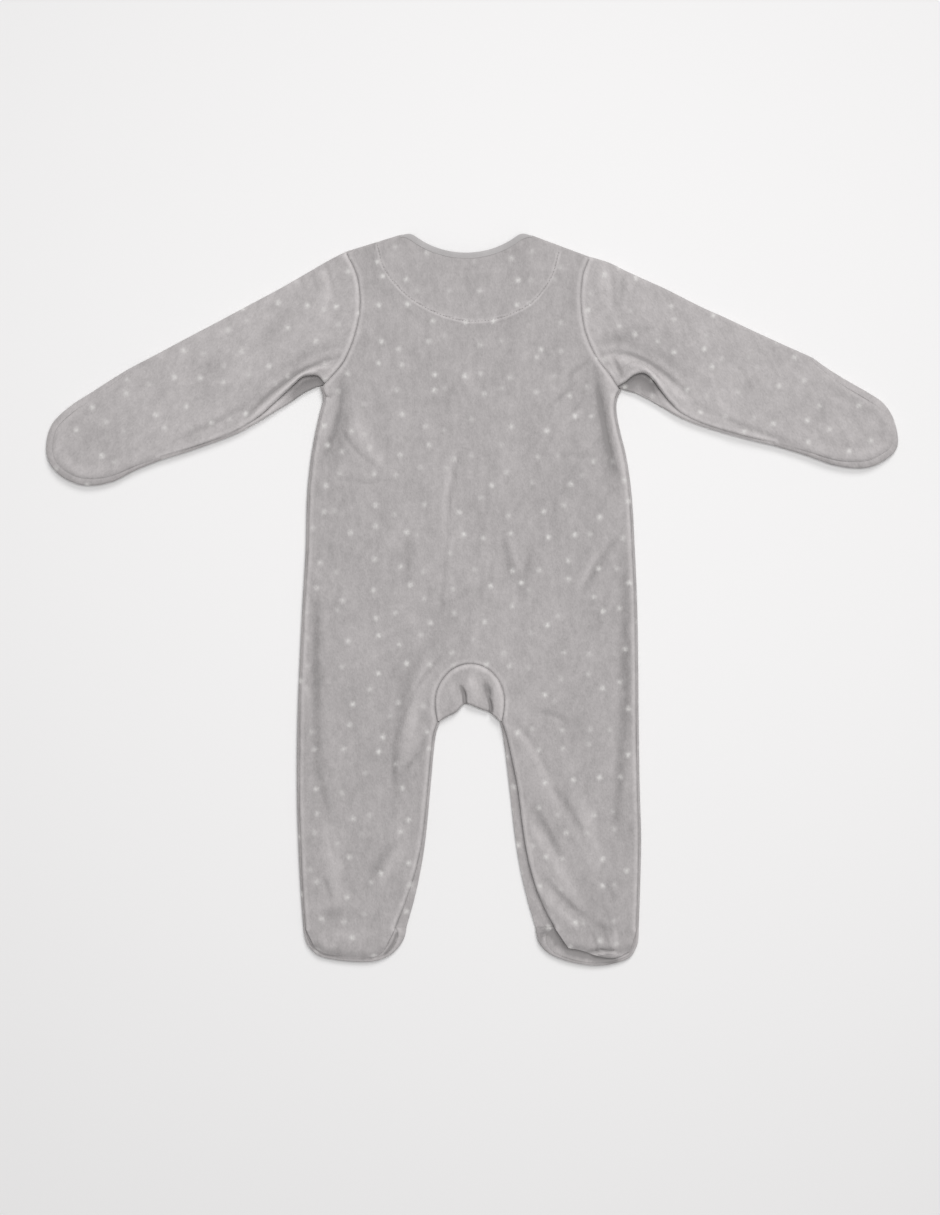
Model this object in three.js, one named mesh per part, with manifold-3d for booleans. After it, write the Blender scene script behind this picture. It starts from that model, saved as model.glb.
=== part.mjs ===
// A footed baby sleepsuit in grey velour, about size 3 to 6 months, lying flat with its back up.
// Lengths are in millimetres. X runs to the wearer's right, Y towards the neck, Z up from the surface.
// Each cut piece is its own wall of cloth. The fronts, mitts and feet are shallow trays that lie on
// the surface and roll up at their edges, and the back and the sleeve tops are the lids on them.

import * as THREE from "three";
import Module from "manifold-3d";

const wasm = await Module();
wasm.setup();

// Cloth and seams
const CLOTH = 1.3;
const FACING_CLOTH = 1.0;
const SEAM_GAP = 0.3;
const REST_HEIGHT = 5.2; // outer face of the back over the surface, where nothing lifts it
const LAP_LIFT = CLOTH + SEAM_GAP; // the under lap of the placket lies on the outer lap
const ROLL = REST_HEIGHT / 2; // radius of a rolled edge at the sides and sleeves
const INNER_ROLL = 2.1;
const FOOT_ROLL = 1.95; // the feet are flatter
const SEAM_SHOW = 2; // how far a rolled edge reaches past its seam
const SEAM_PUFF = 1.1; // the seam allowances lift the cloth beside a seam
const PUFF_REACH = 4;
const LEAST_HEIGHT = 4.6; // a trough in the back stops here, clear of the placket
const LEAST_CROTCH_HEIGHT = 3.4; // and here below the placket
const PLACKET_END_Y = -73;

// Main places
const MIDDLE = { x: 0.08, y: -0.27 }; // of the whole garment, which goes to the origin
const CENTRE_X = -1.8;
const NECK_X = -4.8;
const NECK_HALF = 46.7;
const NECK_TIP_Y = 290.5;
const BACK_NECK_DEPTH = 17.4;
const FRONT_NECK_DEPTH = 53;
const BINDING_WIDTH = 3;
const UNDERARM_Y = { left: 169.5, right: 167 };
const UNDERARM_MIDDLE_Y = 168;
const CROTCH_Y = -98;
const ANKLE_Y = -262;
const LAP_HALF = 10;
const SHOULDER_TIP = { left: { x: -99.6, y: 275.6 }, right: { x: 93.0, y: 271.4 } };
const SLEEVE_ORIGIN = { left: { x: -100.8, y: 278.7 }, right: { x: 93.9, y: 273.8 } };
const SLEEVE_TILT = THREE.MathUtils.degToRad(28);

// The side seams of the body
const bodyRows = [
  { y: 172, left: -120.4, right: 119.6 },
  { y: 167, left: -118.4, right: 117.4 },
  { y: 160, left: -116.9, right: 114.0 },
  { y: 150, left: -119.4, right: 113.4 },
  { y: 135, left: -122.8, right: 116.0 },
  { y: 115, left: -126.4, right: 120.9 },
  { y: 84, left: -129.6, right: 125.4 },
  { y: 40, left: -130.8, right: 128.0 },
  { y: -5, left: -133.4, right: 129.9 },
  { y: -50, left: -135.6, right: 130.7 },
  { y: -98, left: -137.4, right: 131.1 },
  { y: -150, left: -137.8, right: 131.9 },
  { y: -190, left: -136.8, right: 133.0 },
  { y: -230, left: -135.0, right: 132.3 },
  { y: -262, left: -132.8, right: 131.2 },
];

// The inner leg seams of the back, and how far the front shows past each of them
const legRows = [
  { y: -98, left: -27.6, right: 24.0, showLeft: 1.8, showRight: 1.8 },
  { y: -110, left: -31.2, right: 28.0, showLeft: 2.0, showRight: 3.0 },
  { y: -150, left: -35.2, right: 36.4, showLeft: 2.0, showRight: 6.4 },
  { y: -190, left: -39.4, right: 41.6, showLeft: 2.4, showRight: 7.0 },
  { y: -215, left: -44.6, right: 46.6, showLeft: 3.8, showRight: 8.0 },
  { y: -240, left: -52.6, right: 54.8, showLeft: 6.4, showRight: 10.4 },
  { y: -262, left: -61.2, right: 65.8, showLeft: 8.8, showRight: 15.0 },
];

// The armhole seams below each shoulder tip
const armholeRows = {
  left: [
    { x: -91.8, y: 258.0 },
    { x: -89.2, y: 236.0 },
    { x: -92.8, y: 213.0 },
    { x: -101.6, y: 190.5 },
    { x: -112.6, y: 176.6 },
  ],
  right: [
    { x: 88.2, y: 257.0 },
    { x: 87.0, y: 236.0 },
    { x: 90.4, y: 213.0 },
    { x: 98.6, y: 194.0 },
    { x: 109.0, y: 180.0 },
  ],
};

// Stations down a sleeve, along and across its own slope from the shoulder: the upper fold, the
// underarm seam and the front's edge below it. Arch lifts the back off the front, and tuck flattens
// the front's edge, from 0 to 1.
const sleeveRows = {
  left: [
    { foldAlong: 0, fold: -1.0, seamAlong: 68, seam: -84, frontAlong: 68, front: -86, arch: 0, tuck: 1 },
    { foldAlong: 15, fold: -1.0, seamAlong: 66.6, seam: -79.6, frontAlong: 72.4, front: -85.6, arch: 0.5, tuck: 1 },
    { foldAlong: 30, fold: -1.5, seamAlong: 70.4, seam: -76.6, frontAlong: 77.4, front: -85.2, arch: 1, tuck: 1 },
    { foldAlong: 45, fold: -2.0, seamAlong: 78, seam: -74.2, frontAlong: 84, front: -85.2, arch: 1, tuck: 1 },
    { foldAlong: 61, fold: -2.6, seamAlong: 86.6, seam: -76, frontAlong: 91, front: -86, arch: 0.85, tuck: 1 },
    { foldAlong: 78, fold: -2.6, seamAlong: 96, seam: -78.6, frontAlong: 99, front: -86.8, arch: 0.6, tuck: 0.9 },
    { foldAlong: 96, fold: -2.7, seamAlong: 108.4, seam: -81.6, frontAlong: 109.6, front: -87.4, arch: 0.3, tuck: 0.4 },
    { foldAlong: 116, fold: -2.7, seamAlong: 124, seam: -85.2, frontAlong: 124.6, front: -88.4, arch: 0.1, tuck: 0.1 },
    { foldAlong: 142, fold: -2.6, seamAlong: 148, seam: -86.4, frontAlong: 148.2, front: -88.5, arch: 0, tuck: 0 },
    { foldAlong: 172, fold: -2.7, seamAlong: 180, seam: -82.2, frontAlong: 180.2, front: -84.2, arch: 0, tuck: 0 },
    { foldAlong: 200, fold: -2.6, seamAlong: 208, seam: -77.0, frontAlong: 208.3, front: -79.0, arch: 0, tuck: 0 },
  ],
  right: [
    { foldAlong: 0, fold: 1.5, seamAlong: 72, seam: -81, frontAlong: 72, front: -83, arch: 0, tuck: 1 },
    { foldAlong: 16, fold: 2.6, seamAlong: 72.8, seam: -75, frontAlong: 78, front: -80.8, arch: 0.5, tuck: 1 },
    { foldAlong: 32, fold: 3.2, seamAlong: 76, seam: -67.8, frontAlong: 83.6, front: -79.4, arch: 1, tuck: 1 },
    { foldAlong: 48, fold: 4.2, seamAlong: 82, seam: -63, frontAlong: 90.4, front: -79, arch: 1, tuck: 1 },
    { foldAlong: 64, fold: 5.3, seamAlong: 90, seam: -64, frontAlong: 97.6, front: -79, arch: 0.9, tuck: 1 },
    { foldAlong: 82, fold: 5.7, seamAlong: 100, seam: -68.5, frontAlong: 105.4, front: -79.4, arch: 0.7, tuck: 0.9 },
    { foldAlong: 100, fold: 6.2, seamAlong: 111, seam: -73.1, frontAlong: 113.6, front: -79.6, arch: 0.35, tuck: 0.5 },
    { foldAlong: 118, fold: 7.4, seamAlong: 124, seam: -76.4, frontAlong: 124.6, front: -79.8, arch: 0.1, tuck: 0.1 },
    { foldAlong: 142, fold: 8.6, seamAlong: 144, seam: -75.5, frontAlong: 144.4, front: -77.6, arch: 0, tuck: 0 },
    { foldAlong: 170, fold: 10.2, seamAlong: 173, seam: -69.6, frontAlong: 173.5, front: -71.6, arch: 0, tuck: 0 },
    { foldAlong: 196, fold: 11.9, seamAlong: 200, seam: -62.6, frontAlong: 200.6, front: -64.6, arch: 0, tuck: 0 },
  ],
};

// A sleeve's lower edge, in from the front's edge and up: rolled round, and flat under the arch
const edgeSection = [
  { roundIn: 2.6, roundHeight: 0, flatIn: 1.7, flatHeight: 0 },
  { roundIn: 1.07, roundHeight: 0.5, flatIn: 0.5, flatHeight: 0.5 },
  { roundIn: 0.13, roundHeight: 1.8, flatIn: 0, flatHeight: 1.6 },
  { roundIn: 0.13, roundHeight: 3.4, flatIn: 0.4, flatHeight: 2.8 },
  { roundIn: 1.07, roundHeight: 4.7, flatIn: 1.7, flatHeight: 3.4 },
];
const EDGE_TOP = { round: 5.1, flat: 4.2 };

// The back above it, in from the seam and up: nearly flat, and rolled over at the arch
const rollSection = [
  { flatIn: 13, flatHeight: 0.4, archIn: 13, archHeight: 3.6 },
  { flatIn: 7.5, flatHeight: 0.9, archIn: 7.5, archHeight: 5.6 },
  { flatIn: 4, flatHeight: 1.1, archIn: 3, archHeight: 5.8 },
  { flatIn: 1.6, flatHeight: 0.6, archIn: 0.5, archHeight: 4.2 },
  { flatIn: 0, flatHeight: 0, archIn: 0, archHeight: 2.2 },
];

// The outline of each closed sleeve end past the wrist, and how wide its rim shows
const mittRows = {
  left: [
    { along: 213, across: -3.4, show: 4.0 },
    { along: 232, across: -5.0, show: 5.4 },
    { along: 253, across: -6.8, show: 5.6 },
    { along: 272, across: -12.4, show: 5.6 },
    { along: 284, across: -24.5, show: 5.6 },
    { along: 288.8, across: -39.0, show: 5.6 },
    { along: 284.5, across: -54.5, show: 5.6 },
    { along: 272, across: -68.5, show: 5.4 },
    { along: 252, across: -75.8, show: 4.4 },
    { along: 230, across: -76.6, show: 3.0 },
  ],
  right: [
    { along: 210, across: 10.0, show: 4.0 },
    { along: 228, across: 8.8, show: 5.4 },
    { along: 247, across: 8.2, show: 5.6 },
    { along: 263, across: 6.2, show: 5.6 },
    { along: 277, across: -2.4, show: 5.6 },
    { along: 288.4, across: -18.6, show: 5.6 },
    { along: 284.5, across: -33.5, show: 5.6 },
    { along: 273, across: -46.6, show: 5.2 },
    { along: 252, across: -55.4, show: 4.2 },
    { along: 226, across: -59.6, show: 2.8 },
  ],
};

// The outline of each foot past the ankle seam, from the outer side round the toe, and its rim
const footRows = {
  left: [
    { x: -133.6, y: -270.0, show: 2.4 },
    { x: -130.4, y: -277.5, show: 2.6 },
    { x: -121.0, y: -285.6, show: 2.7 },
    { x: -100.0, y: -289.4, show: 2.7 },
    { x: -80.0, y: -289.6, show: 2.7 },
    { x: -66.5, y: -285.0, show: 3.2 },
    { x: -57.6, y: -276.6, show: 4.4 },
    { x: -53.4, y: -268.5, show: 6.4 },
  ],
  right: [
    { x: 133.0, y: -270.0, show: 2.4 },
    { x: 131.2, y: -278.5, show: 2.6 },
    { x: 124.0, y: -287.6, show: 2.7 },
    { x: 103.0, y: -292.8, show: 2.7 },
    { x: 82.0, y: -290.8, show: 2.7 },
    { x: 64.0, y: -284.6, show: 3.6 },
    { x: 54.6, y: -276.4, show: 6.4 },
    { x: 51.6, y: -268.5, show: 10.6 },
  ],
};

// The lower edge of the back over each heel, from the outer side inwards
const heelRows = {
  left: [
    { x: -125.0, y: -278.6 },
    { x: -116.0, y: -283.0 },
    { x: -98.0, y: -285.4 },
    { x: -80.0, y: -286.0 },
    { x: -70.5, y: -281.0 },
  ],
  right: [
    { x: 126.5, y: -281.0 },
    { x: 113.0, y: -286.6 },
    { x: 99.0, y: -284.4 },
    { x: 87.0, y: -280.4 },
    { x: 77.0, y: -278.6 },
  ],
};

// The seam of the crotch gusset with the back, from the left leg over the top to the right leg
const gussetBackRows = [
  { x: -27.6, y: -98.0 },
  { x: -29.4, y: -87.0 },
  { x: -28.8, y: -76.0 },
  { x: -24.2, y: -65.0 },
  { x: -14.8, y: -55.4 },
  { x: -1.8, y: -51.5 },
  { x: 11.2, y: -55.0 },
  { x: 20.4, y: -63.6 },
  { x: 25.2, y: -74.5 },
  { x: 25.8, y: -86.0 },
  { x: 24.0, y: -98.0 },
];

// The lower fold of the gusset, where it turns under to the fronts
const gussetFoldRows = [
  { x: -24.6, y: -96.6 },
  { x: -17.5, y: -90.4 },
  { x: -9.3, y: -85.2 },
  { x: -2.4, y: -83.2 },
  { x: 5.5, y: -85.4 },
  { x: 13.5, y: -90.2 },
  { x: 21.2, y: -96.8 },
];

// The seam of the gusset with the fronts, under the garment
const gussetFrontRows = [
  { x: -27.2, y: -96.2 },
  { x: -24.0, y: -84.0 },
  { x: -14.0, y: -74.6 },
  { x: -1.8, y: -71.0 },
  { x: 10.4, y: -74.4 },
  { x: 20.6, y: -83.6 },
  { x: 23.8, y: -96.2 },
];

// The largest folds: start, middle and end of each crease, its half width, and its rise or depth
const folds = [
  { name: "left underarm trough", x1: -101, y1: 168, x2: -101, y2: 134, x3: -112, y3: 104, width: 5, rise: -0.9 },
  { name: "left underarm ridge", x1: -96, y1: 158, x2: -92, y2: 120, x3: -60, y3: 96, width: 4, rise: 1.6 },
  { name: "right side trough", x1: 101, y1: 174, x2: 106, y2: 128, x3: 113, y3: 78, width: 4.5, rise: -1.0 },
  { name: "right side ridge", x1: 108, y1: 172, x2: 110, y2: 146, x3: 117, y3: 108, width: 4, rise: 2.0 },
  { name: "left hip trough", x1: -34, y1: -34, x2: -55, y2: -58, x3: -62, y3: -130, width: 4, rise: -0.9 },
  { name: "left hip ridge", x1: -30, y1: -46, x2: -47, y2: -68, x3: -52, y3: -118, width: 5, rise: 1.5 },
  { name: "right thigh ridge", x1: 34, y1: -104, x2: 52, y2: -122, x3: 66, y3: -170, width: 6, rise: 1.6 },
  { name: "right calf ridge", x1: 56, y1: -184, x2: 62, y2: -216, x3: 88, y3: -250, width: 6, rise: 1.7 },
  { name: "right shin ridge", x1: 84, y1: -150, x2: 94, y2: -182, x3: 98, y3: -222, width: 6, rise: 1.2 },
  { name: "left shin ridge", x1: -118, y1: -180, x2: -106, y2: -212, x3: -110, y3: -246, width: 6, rise: 1.2 },
  { name: "middle back ridge", x1: -14, y1: 92, x2: -20, y2: 46, x3: -24, y3: 4, width: 7, rise: 1.0 },
  { name: "left sleeve head ridge", x1: -113, y1: 262, x2: -118, y2: 248, x3: -122, y3: 228, width: 5, rise: 1.2 },
  { name: "right sleeve head ridge", x1: 104, y1: 262, x2: 108, y2: 250, x3: 110, y3: 230, width: 5, rise: 1.2 },
  { name: "left gusset pleat", x1: -9, y1: -69, x2: -7, y2: -76, x3: -4, y3: -86, width: 2.6, rise: -1.6 },
  { name: "left gusset lip", x1: -2, y1: -64, x2: 0, y2: -74, x3: 2, y3: -84, width: 3.8, rise: 2.4 },
  { name: "right gusset pleat", x1: 9, y1: -66, x2: 12, y2: -76, x3: 12, y3: -88, width: 2.6, rise: -1.4 },
  { name: "right gusset lip", x1: 17, y1: -68, x2: 19, y2: -80, x3: 18, y3: -90, width: 3.4, rise: 1.8 },
];

// The half-moon facing inside the back neck, an ellipse about the neck in plan
const FACING = { x: -3, y: 281.5, half: 73, depth: 62, lift: 0.9, edge: 0.12 };

// Press studs down the front placket
const STUD_COUNT = 6;
const STUD_TOP_Y = 226;
const STUD_PITCH = 54;
const STUD_CAP_RADIUS = 5;
const STUD_PLATE_RADIUS = 4.4;
const STUD_SHANK_RADIUS = 1.8;
const STUD_METAL = 0.5;
const STUD_CLEARANCE = 0.3;
const STUD_SIDES = 10;

const { lerp, clamp, smoothstep } = THREE.MathUtils;
const SIDES = ["left", "right"];
const outwards = (side) => (side === "left" ? -1 : 1);
const steps = (count) => Array.from({ length: count + 1 }, (_, i) => i / count);
const levels = (top, bottom, shares) => shares.map((t) => lerp(top, bottom, t));
const at = (x, y, z = 0) => new THREE.Vector3(x, y, z);
const straight = (a, b) => (t) => new THREE.Vector3().lerpVectors(a, b, t);
const between = (curve, from, to) => (t) => curve(lerp(from, to, t));
const run = (curve, count = 24) => steps(count).map(curve);
const onPlane = (p, z) => at(p.x, p.y, z);

// A column of a table at any value of its key, on a smooth curve through the rows
function columnAt(rows, key, column, value) {
  const rising = rows[rows.length - 1][key] > rows[0][key];
  const order = rising ? rows : [...rows].reverse();
  const last = order.length - 1;
  let i = 0;
  while (i < last - 1 && order[i + 1][key] < value) i += 1;
  const slope = (k) => {
    const a = order[Math.max(k - 1, 0)];
    const b = order[Math.min(k + 1, last)];
    return (b[column] - a[column]) / (b[key] - a[key]);
  };
  const span = order[i + 1][key] - order[i][key];
  const t = clamp((value - order[i][key]) / span, 0, 1);
  const leave = t * (1 - t) * (1 - t) * span * slope(i);
  const arrive = t * t * (1 - t) * span * slope(i + 1);
  return lerp(order[i][column], order[i + 1][column], t * t * (3 - 2 * t)) + leave - arrive;
}

// A column of a table at a share of its length, with straight lines between the rows
function shareAt(rows, column, share) {
  const place = clamp(share, 0, 1) * (rows.length - 1);
  const i = Math.min(Math.floor(place), rows.length - 2);
  return lerp(rows[i][column], rows[i + 1][column], place - i);
}

// A plan curve through points, by the share of its length or by the share of its rows
const splineOf = (points) =>
  new THREE.CatmullRomCurve3(points.map((p) => at(p.x, p.y)), false, "catmullrom");
function curveThrough(points) {
  const curve = splineOf(points);
  return (t) => curve.getPointAt(clamp(t, 0, 1));
}
function curveByRows(points) {
  const curve = splineOf(points);
  return (t) => curve.getPoint(clamp(t, 0, 1));
}

// The same curve moved to the left of the way it runs
function offsetCurve(curve, distance) {
  const STEP = 0.004;
  return (t) => {
    const ahead = curve(Math.min(t + STEP, 1)).sub(curve(Math.max(t - STEP, 0))).normalize();
    return curve(t).add(at(-ahead.y, ahead.x).multiplyScalar(distance));
  };
}

// The share of a curve at which it reaches an x, for a curve that only runs one way in x
function shareAtX(curve, x) {
  let [low, high] = [0, 1];
  const rising = curve(1).x > curve(0).x;
  for (let i = 0; i < 40; i += 1) {
    const middle = (low + high) / 2;
    if (curve(middle).x < x === rising) low = middle;
    else high = middle;
  }
  return low;
}

// A four-sided panel between its edges: head and foot run across, left and right run down
function panel(head, foot, left, right) {
  const [a, b, c, d] = [head(0), head(1), foot(0), foot(1)];
  return (u, v) => {
    const [top, bottom, start, end] = [head(u), foot(u), left(v), right(v)];
    const mix = (k) =>
      lerp(top[k], bottom[k], v) +
      lerp(start[k], end[k], u) -
      lerp(lerp(a[k], b[k], u), lerp(c[k], d[k], u), v);
    return at(mix("x"), mix("y"));
  };
}
const gridOf = (surface, across, down) => down.map((v) => across.map((u) => surface(u, v)));
const raise = (grid, height) => grid.map((row) => row.map((p) => onPlane(p, height(p.x, p.y))));
const rowBetween = (a, b, shares) => shares.map((t) => new THREE.Vector3().lerpVectors(a, b, t));

function geometryOf(points, triangles) {
  const geometry = new THREE.BufferGeometry().setFromPoints(points);
  geometry.setIndex(triangles);
  return geometry;
}

// A sheet is a list of points and of four-sided faces. Points that meet become one.
class Sheet {
  points = [];
  faces = [];
  index = new Map();

  point(p) {
    const key = [p.x, p.y, p.z].map((v) => Math.round(v * 40 + 0.27)).join(",");
    if (!this.index.has(key)) this.index.set(key, this.points.push(p.clone()) - 1);
    return this.index.get(key);
  }

  add(grid) {
    const ids = grid.map((row) => row.map((p) => this.point(p)));
    for (let i = 0; i + 1 < ids.length; i += 1) {
      for (let j = 0; j + 1 < ids[i].length; j += 1) {
        this.faces.push([ids[i][j], ids[i + 1][j], ids[i + 1][j + 1], ids[i][j + 1]]);
      }
    }
    return this;
  }

  faceNormal(face) {
    const [a, b, c, d] = face.map((id) => this.points[id]);
    return new THREE.Vector3().crossVectors(c.clone().sub(a), d.clone().sub(b));
  }

  // Turns the faces to agree with each other, from a first one that must face up or down
  turn(up) {
    const keyOf = (a, b) => Math.min(a, b) + "-" + Math.max(a, b);
    const edgesOf = (face) => face.map((id, k) => [id, face[(k + 1) % 4]]);
    const byEdge = new Map();
    this.faces.forEach((face, f) =>
      edgesOf(face).forEach(([a, b]) => byEdge.set(keyOf(a, b), [...(byEdge.get(keyOf(a, b)) ?? []), f])),
    );
    if (Math.sign(this.faceNormal(this.faces[0]).z) !== up) this.faces[0].reverse();
    const seen = new Set([0]);
    const queue = [0];
    while (queue.length) {
      for (const [a, b] of edgesOf(this.faces[queue.pop()])) {
        for (const g of byEdge.get(keyOf(a, b))) {
          if (seen.has(g)) continue;
          if (edgesOf(this.faces[g]).some(([c, d]) => c === a && d === b)) this.faces[g].reverse();
          seen.add(g);
          queue.push(g);
        }
      }
    }
    return this;
  }

  // The closed wall between the sheet and the same sheet moved inwards by the cloth's thickness.
  // Its open edges are cut plumb where the cloth lies nearly level.
  wall(thickness) {
    const LEVEL = 0.6;
    const normals = this.points.map(() => at(0, 0));
    const open = new Map();
    for (const face of this.faces) {
      const normal = this.faceNormal(face);
      face.forEach((id, k) => {
        const next = face[(k + 1) % 4];
        normals[id].add(normal);
        if (!open.delete(next + "-" + id)) open.set(id + "-" + next, [id, next]);
      });
    }
    normals.forEach((normal) => normal.normalize());
    for (const id of new Set([...open.values()].flat())) {
      if (Math.abs(normals[id].z) > LEVEL) normals[id].set(0, 0, Math.sign(normals[id].z));
    }
    const inner = this.points.map((p, i) => p.clone().addScaledVector(normals[i], -thickness));
    const shift = this.points.length;
    const triangles = [];
    for (const [a, b, c, d] of this.faces) {
      triangles.push(a, b, c, a, c, d);
      triangles.push(c + shift, b + shift, a + shift, d + shift, c + shift, a + shift);
    }
    for (const [a, b] of open.values()) triangles.push(b, a, a + shift, b, a + shift, b + shift);
    return geometryOf([...this.points, ...inner], triangles);
  }
}

// The distance from a place to a run of plan points
function distanceTo(points, x, y) {
  let best = Infinity;
  for (let i = 0; i + 1 < points.length; i += 1) {
    const [a, b] = [points[i], points[i + 1]];
    const [dx, dy] = [b.x - a.x, b.y - a.y];
    const t = clamp(((x - a.x) * dx + (y - a.y) * dy) / (dx * dx + dy * dy), 0, 1);
    best = Math.min(best, Math.hypot(x - a.x - t * dx, y - a.y - t * dy));
  }
  return best;
}

// What one crease adds to the height: full along its middle, fading out at its ends and sides
const FOLD_STEPS = 12;
const FOLD_TAPER = 0.12;
function foldRise(fold, x, y) {
  let rise = 0;
  for (let i = 0; i <= FOLD_STEPS; i += 1) {
    const t = i / FOLD_STEPS;
    const [a, b, c] = [(1 - t) * (1 - t), 2 * t * (1 - t), t * t];
    const dx = x - a * fold.x1 - b * fold.x2 - c * fold.x3;
    const dy = y - a * fold.y1 - b * fold.y2 - c * fold.y3;
    const ends = Math.sin(Math.PI * lerp(FOLD_TAPER, 1 - FOLD_TAPER, t));
    rise = Math.max(rise, ends * Math.exp(-(dx * dx + dy * dy) / fold.width ** 2));
  }
  return rise * fold.rise;
}

// How much the seams near a place lift the cloth
function seamLift(seams, x, y) {
  return seams.reduce((lift, seam) => {
    const d = distanceTo(seam, x, y) / PUFF_REACH;
    return lift + SEAM_PUFF * d * Math.exp(1 - d);
  }, 0);
}

// Height of the upper face of the cloth, given the seams beside it
function upperHeight(seams, x, y) {
  const bumps = folds.reduce((sum, fold) => sum + foldRise(fold, x, y), 0);
  const placket = smoothstep(y, PLACKET_END_Y - 3, PLACKET_END_Y + 3);
  const least = lerp(LEAST_CROTCH_HEIGHT, LEAST_HEIGHT, placket);
  return Math.max(REST_HEIGHT + seamLift(seams, x, y) + bumps, least);
}

// The seams of the body in plan
const tipOf = (side) => at(SHOULDER_TIP[side].x, SHOULDER_TIP[side].y);
const neckTip = (side) => at(NECK_X + outwards(side) * NECK_HALF, NECK_TIP_Y);
const sideAt = (side, y) => columnAt(bodyRows, "y", side, y);
const innerAt = (side, y) => columnAt(legRows, "y", side, y);
const showAt = (side, y) => columnAt(legRows, "y", side === "left" ? "showLeft" : "showRight", y);
const underarm = (side) => at(sideAt(side, UNDERARM_Y[side]), UNDERARM_Y[side]);
const gussetSeam = curveThrough(gussetBackRows);
const frontSeam = curveThrough(gussetFrontRows);

// The way out over the shoulder, square to the shoulder seam
function overShoulder(side) {
  const slope = neckTip(side).sub(tipOf(side));
  return at(-slope.y, slope.x).normalize().multiplyScalar(-outwards(side));
}
const tipBase = (side) => tipOf(side).addScaledVector(overShoulder(side), SEAM_SHOW - ROLL);
const armhole = {
  left: curveThrough([tipBase("left"), ...armholeRows.left, underarm("left")]),
  right: curveThrough([tipBase("right"), ...armholeRows.right, underarm("right")]),
};

// The back neck edge is an arc, and the front one is half an ellipse, from 0 at the middle
const neckRadius = (NECK_HALF ** 2 + BACK_NECK_DEPTH ** 2) / (2 * BACK_NECK_DEPTH);
const neckCentreY = NECK_TIP_Y - BACK_NECK_DEPTH + neckRadius;
const neckAngle = Math.asin(NECK_HALF / neckRadius);
function backNeck(angle, inwards = 0) {
  const radius = neckRadius - inwards;
  return at(NECK_X + radius * Math.sin(angle), neckCentreY - radius * Math.cos(angle));
}
function frontNeck(angle, inwards = 0) {
  const x = NECK_X + (NECK_HALF - inwards) * Math.sin(angle);
  return at(x, NECK_TIP_Y - (FRONT_NECK_DEPTH - inwards) * Math.cos(angle));
}
const frontNeckAngle = (x) => Math.asin(clamp((x - NECK_X) / NECK_HALF, -1, 1));

// Shares across and down that pieces on both sides of a seam have in common
const SHOULDER_SHARE = 0.5;
const ACROSS_BACK = [0, 0.022, 0.06, 0.13, 0.3, SHOULDER_SHARE, 0.64, 0.78, 0.9, 0.965, 1];
const SLEEVE_ACROSS = [0, 0.06, 0.16, 0.3, 0.44, 0.58, 0.72];
const SLEEVE_UNDER = [0, 0.15, 0.3, 0.45, 0.6, 0.75, 0.88, 1];
const SLEEVE_END = 0.974; // the sleeve leaves the armhole here, before the body's rolled side
const SLEEVE_UNDER_END = 0.97;
const ARMHOLE_LENGTH = 122;
const TORSO_DOWN = [0, 0.04, 0.09, 0.16, 0.26, 0.37, 0.48, 0.6, 0.72, 0.86, 1];
const GUSSET_STEPS = 7;
const LEG_DOWN = steps(8);
const gussetTopY = gussetSeam(0.5).y;
const gussetShare = (side, t) => (side === "left" ? 0.5 - t / 2 : 0.5 + t / 2);
const rollShares = rollSection.map((row) => SLEEVE_END * (1 - row.flatIn / ARMHOLE_LENGTH));
const armholeShares = [...SLEEVE_ACROSS.map((u) => u * SLEEVE_END), ...rollShares, 1];

// The heights at which the back and the fronts both have points along a side seam
function sideLevels(side) {
  const torso = levels(UNDERARM_Y[side], gussetTopY, TORSO_DOWN);
  const crotch = steps(GUSSET_STEPS).map((t) => gussetSeam(gussetShare(side, t)).y);
  return { torso, crotch, leg: levels(CROTCH_Y, ANKLE_Y, LEG_DOWN) };
}

const armholeRuns = SIDES.map((side) => run(armhole[side]));
const sideRuns = SIDES.map((side) =>
  levels(UNDERARM_Y[side], ANKLE_Y, steps(40)).map((y) => at(sideAt(side, y), y)),
);
const legRuns = SIDES.map((side) =>
  levels(CROTCH_Y, ANKLE_Y, steps(24)).map((y) => at(innerAt(side, y), y)),
);
const backSeams = [...armholeRuns, ...sideRuns, ...legRuns, run(gussetSeam, 40)];

function facingLift(x, y) {
  const far = Math.hypot((x - FACING.x) / FACING.half, (y - FACING.y) / FACING.depth);
  return FACING.lift * (1 - smoothstep(far, 1, 1 + FACING.edge));
}

const HEEL_LIFT = 1.2;
const HEEL_REACH = 7;
const heelRuns = SIDES.map((side) => run(curveThrough(heelRows[side])));
function backHeight(x, y) {
  const toHeel = Math.min(...heelRuns.map((heel) => distanceTo(heel, x, y)));
  const heel = HEEL_LIFT * Math.exp(-((toHeel / HEEL_REACH) ** 2));
  return upperHeight(backSeams, x, y) + facingLift(x, y) + heel;
}

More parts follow.
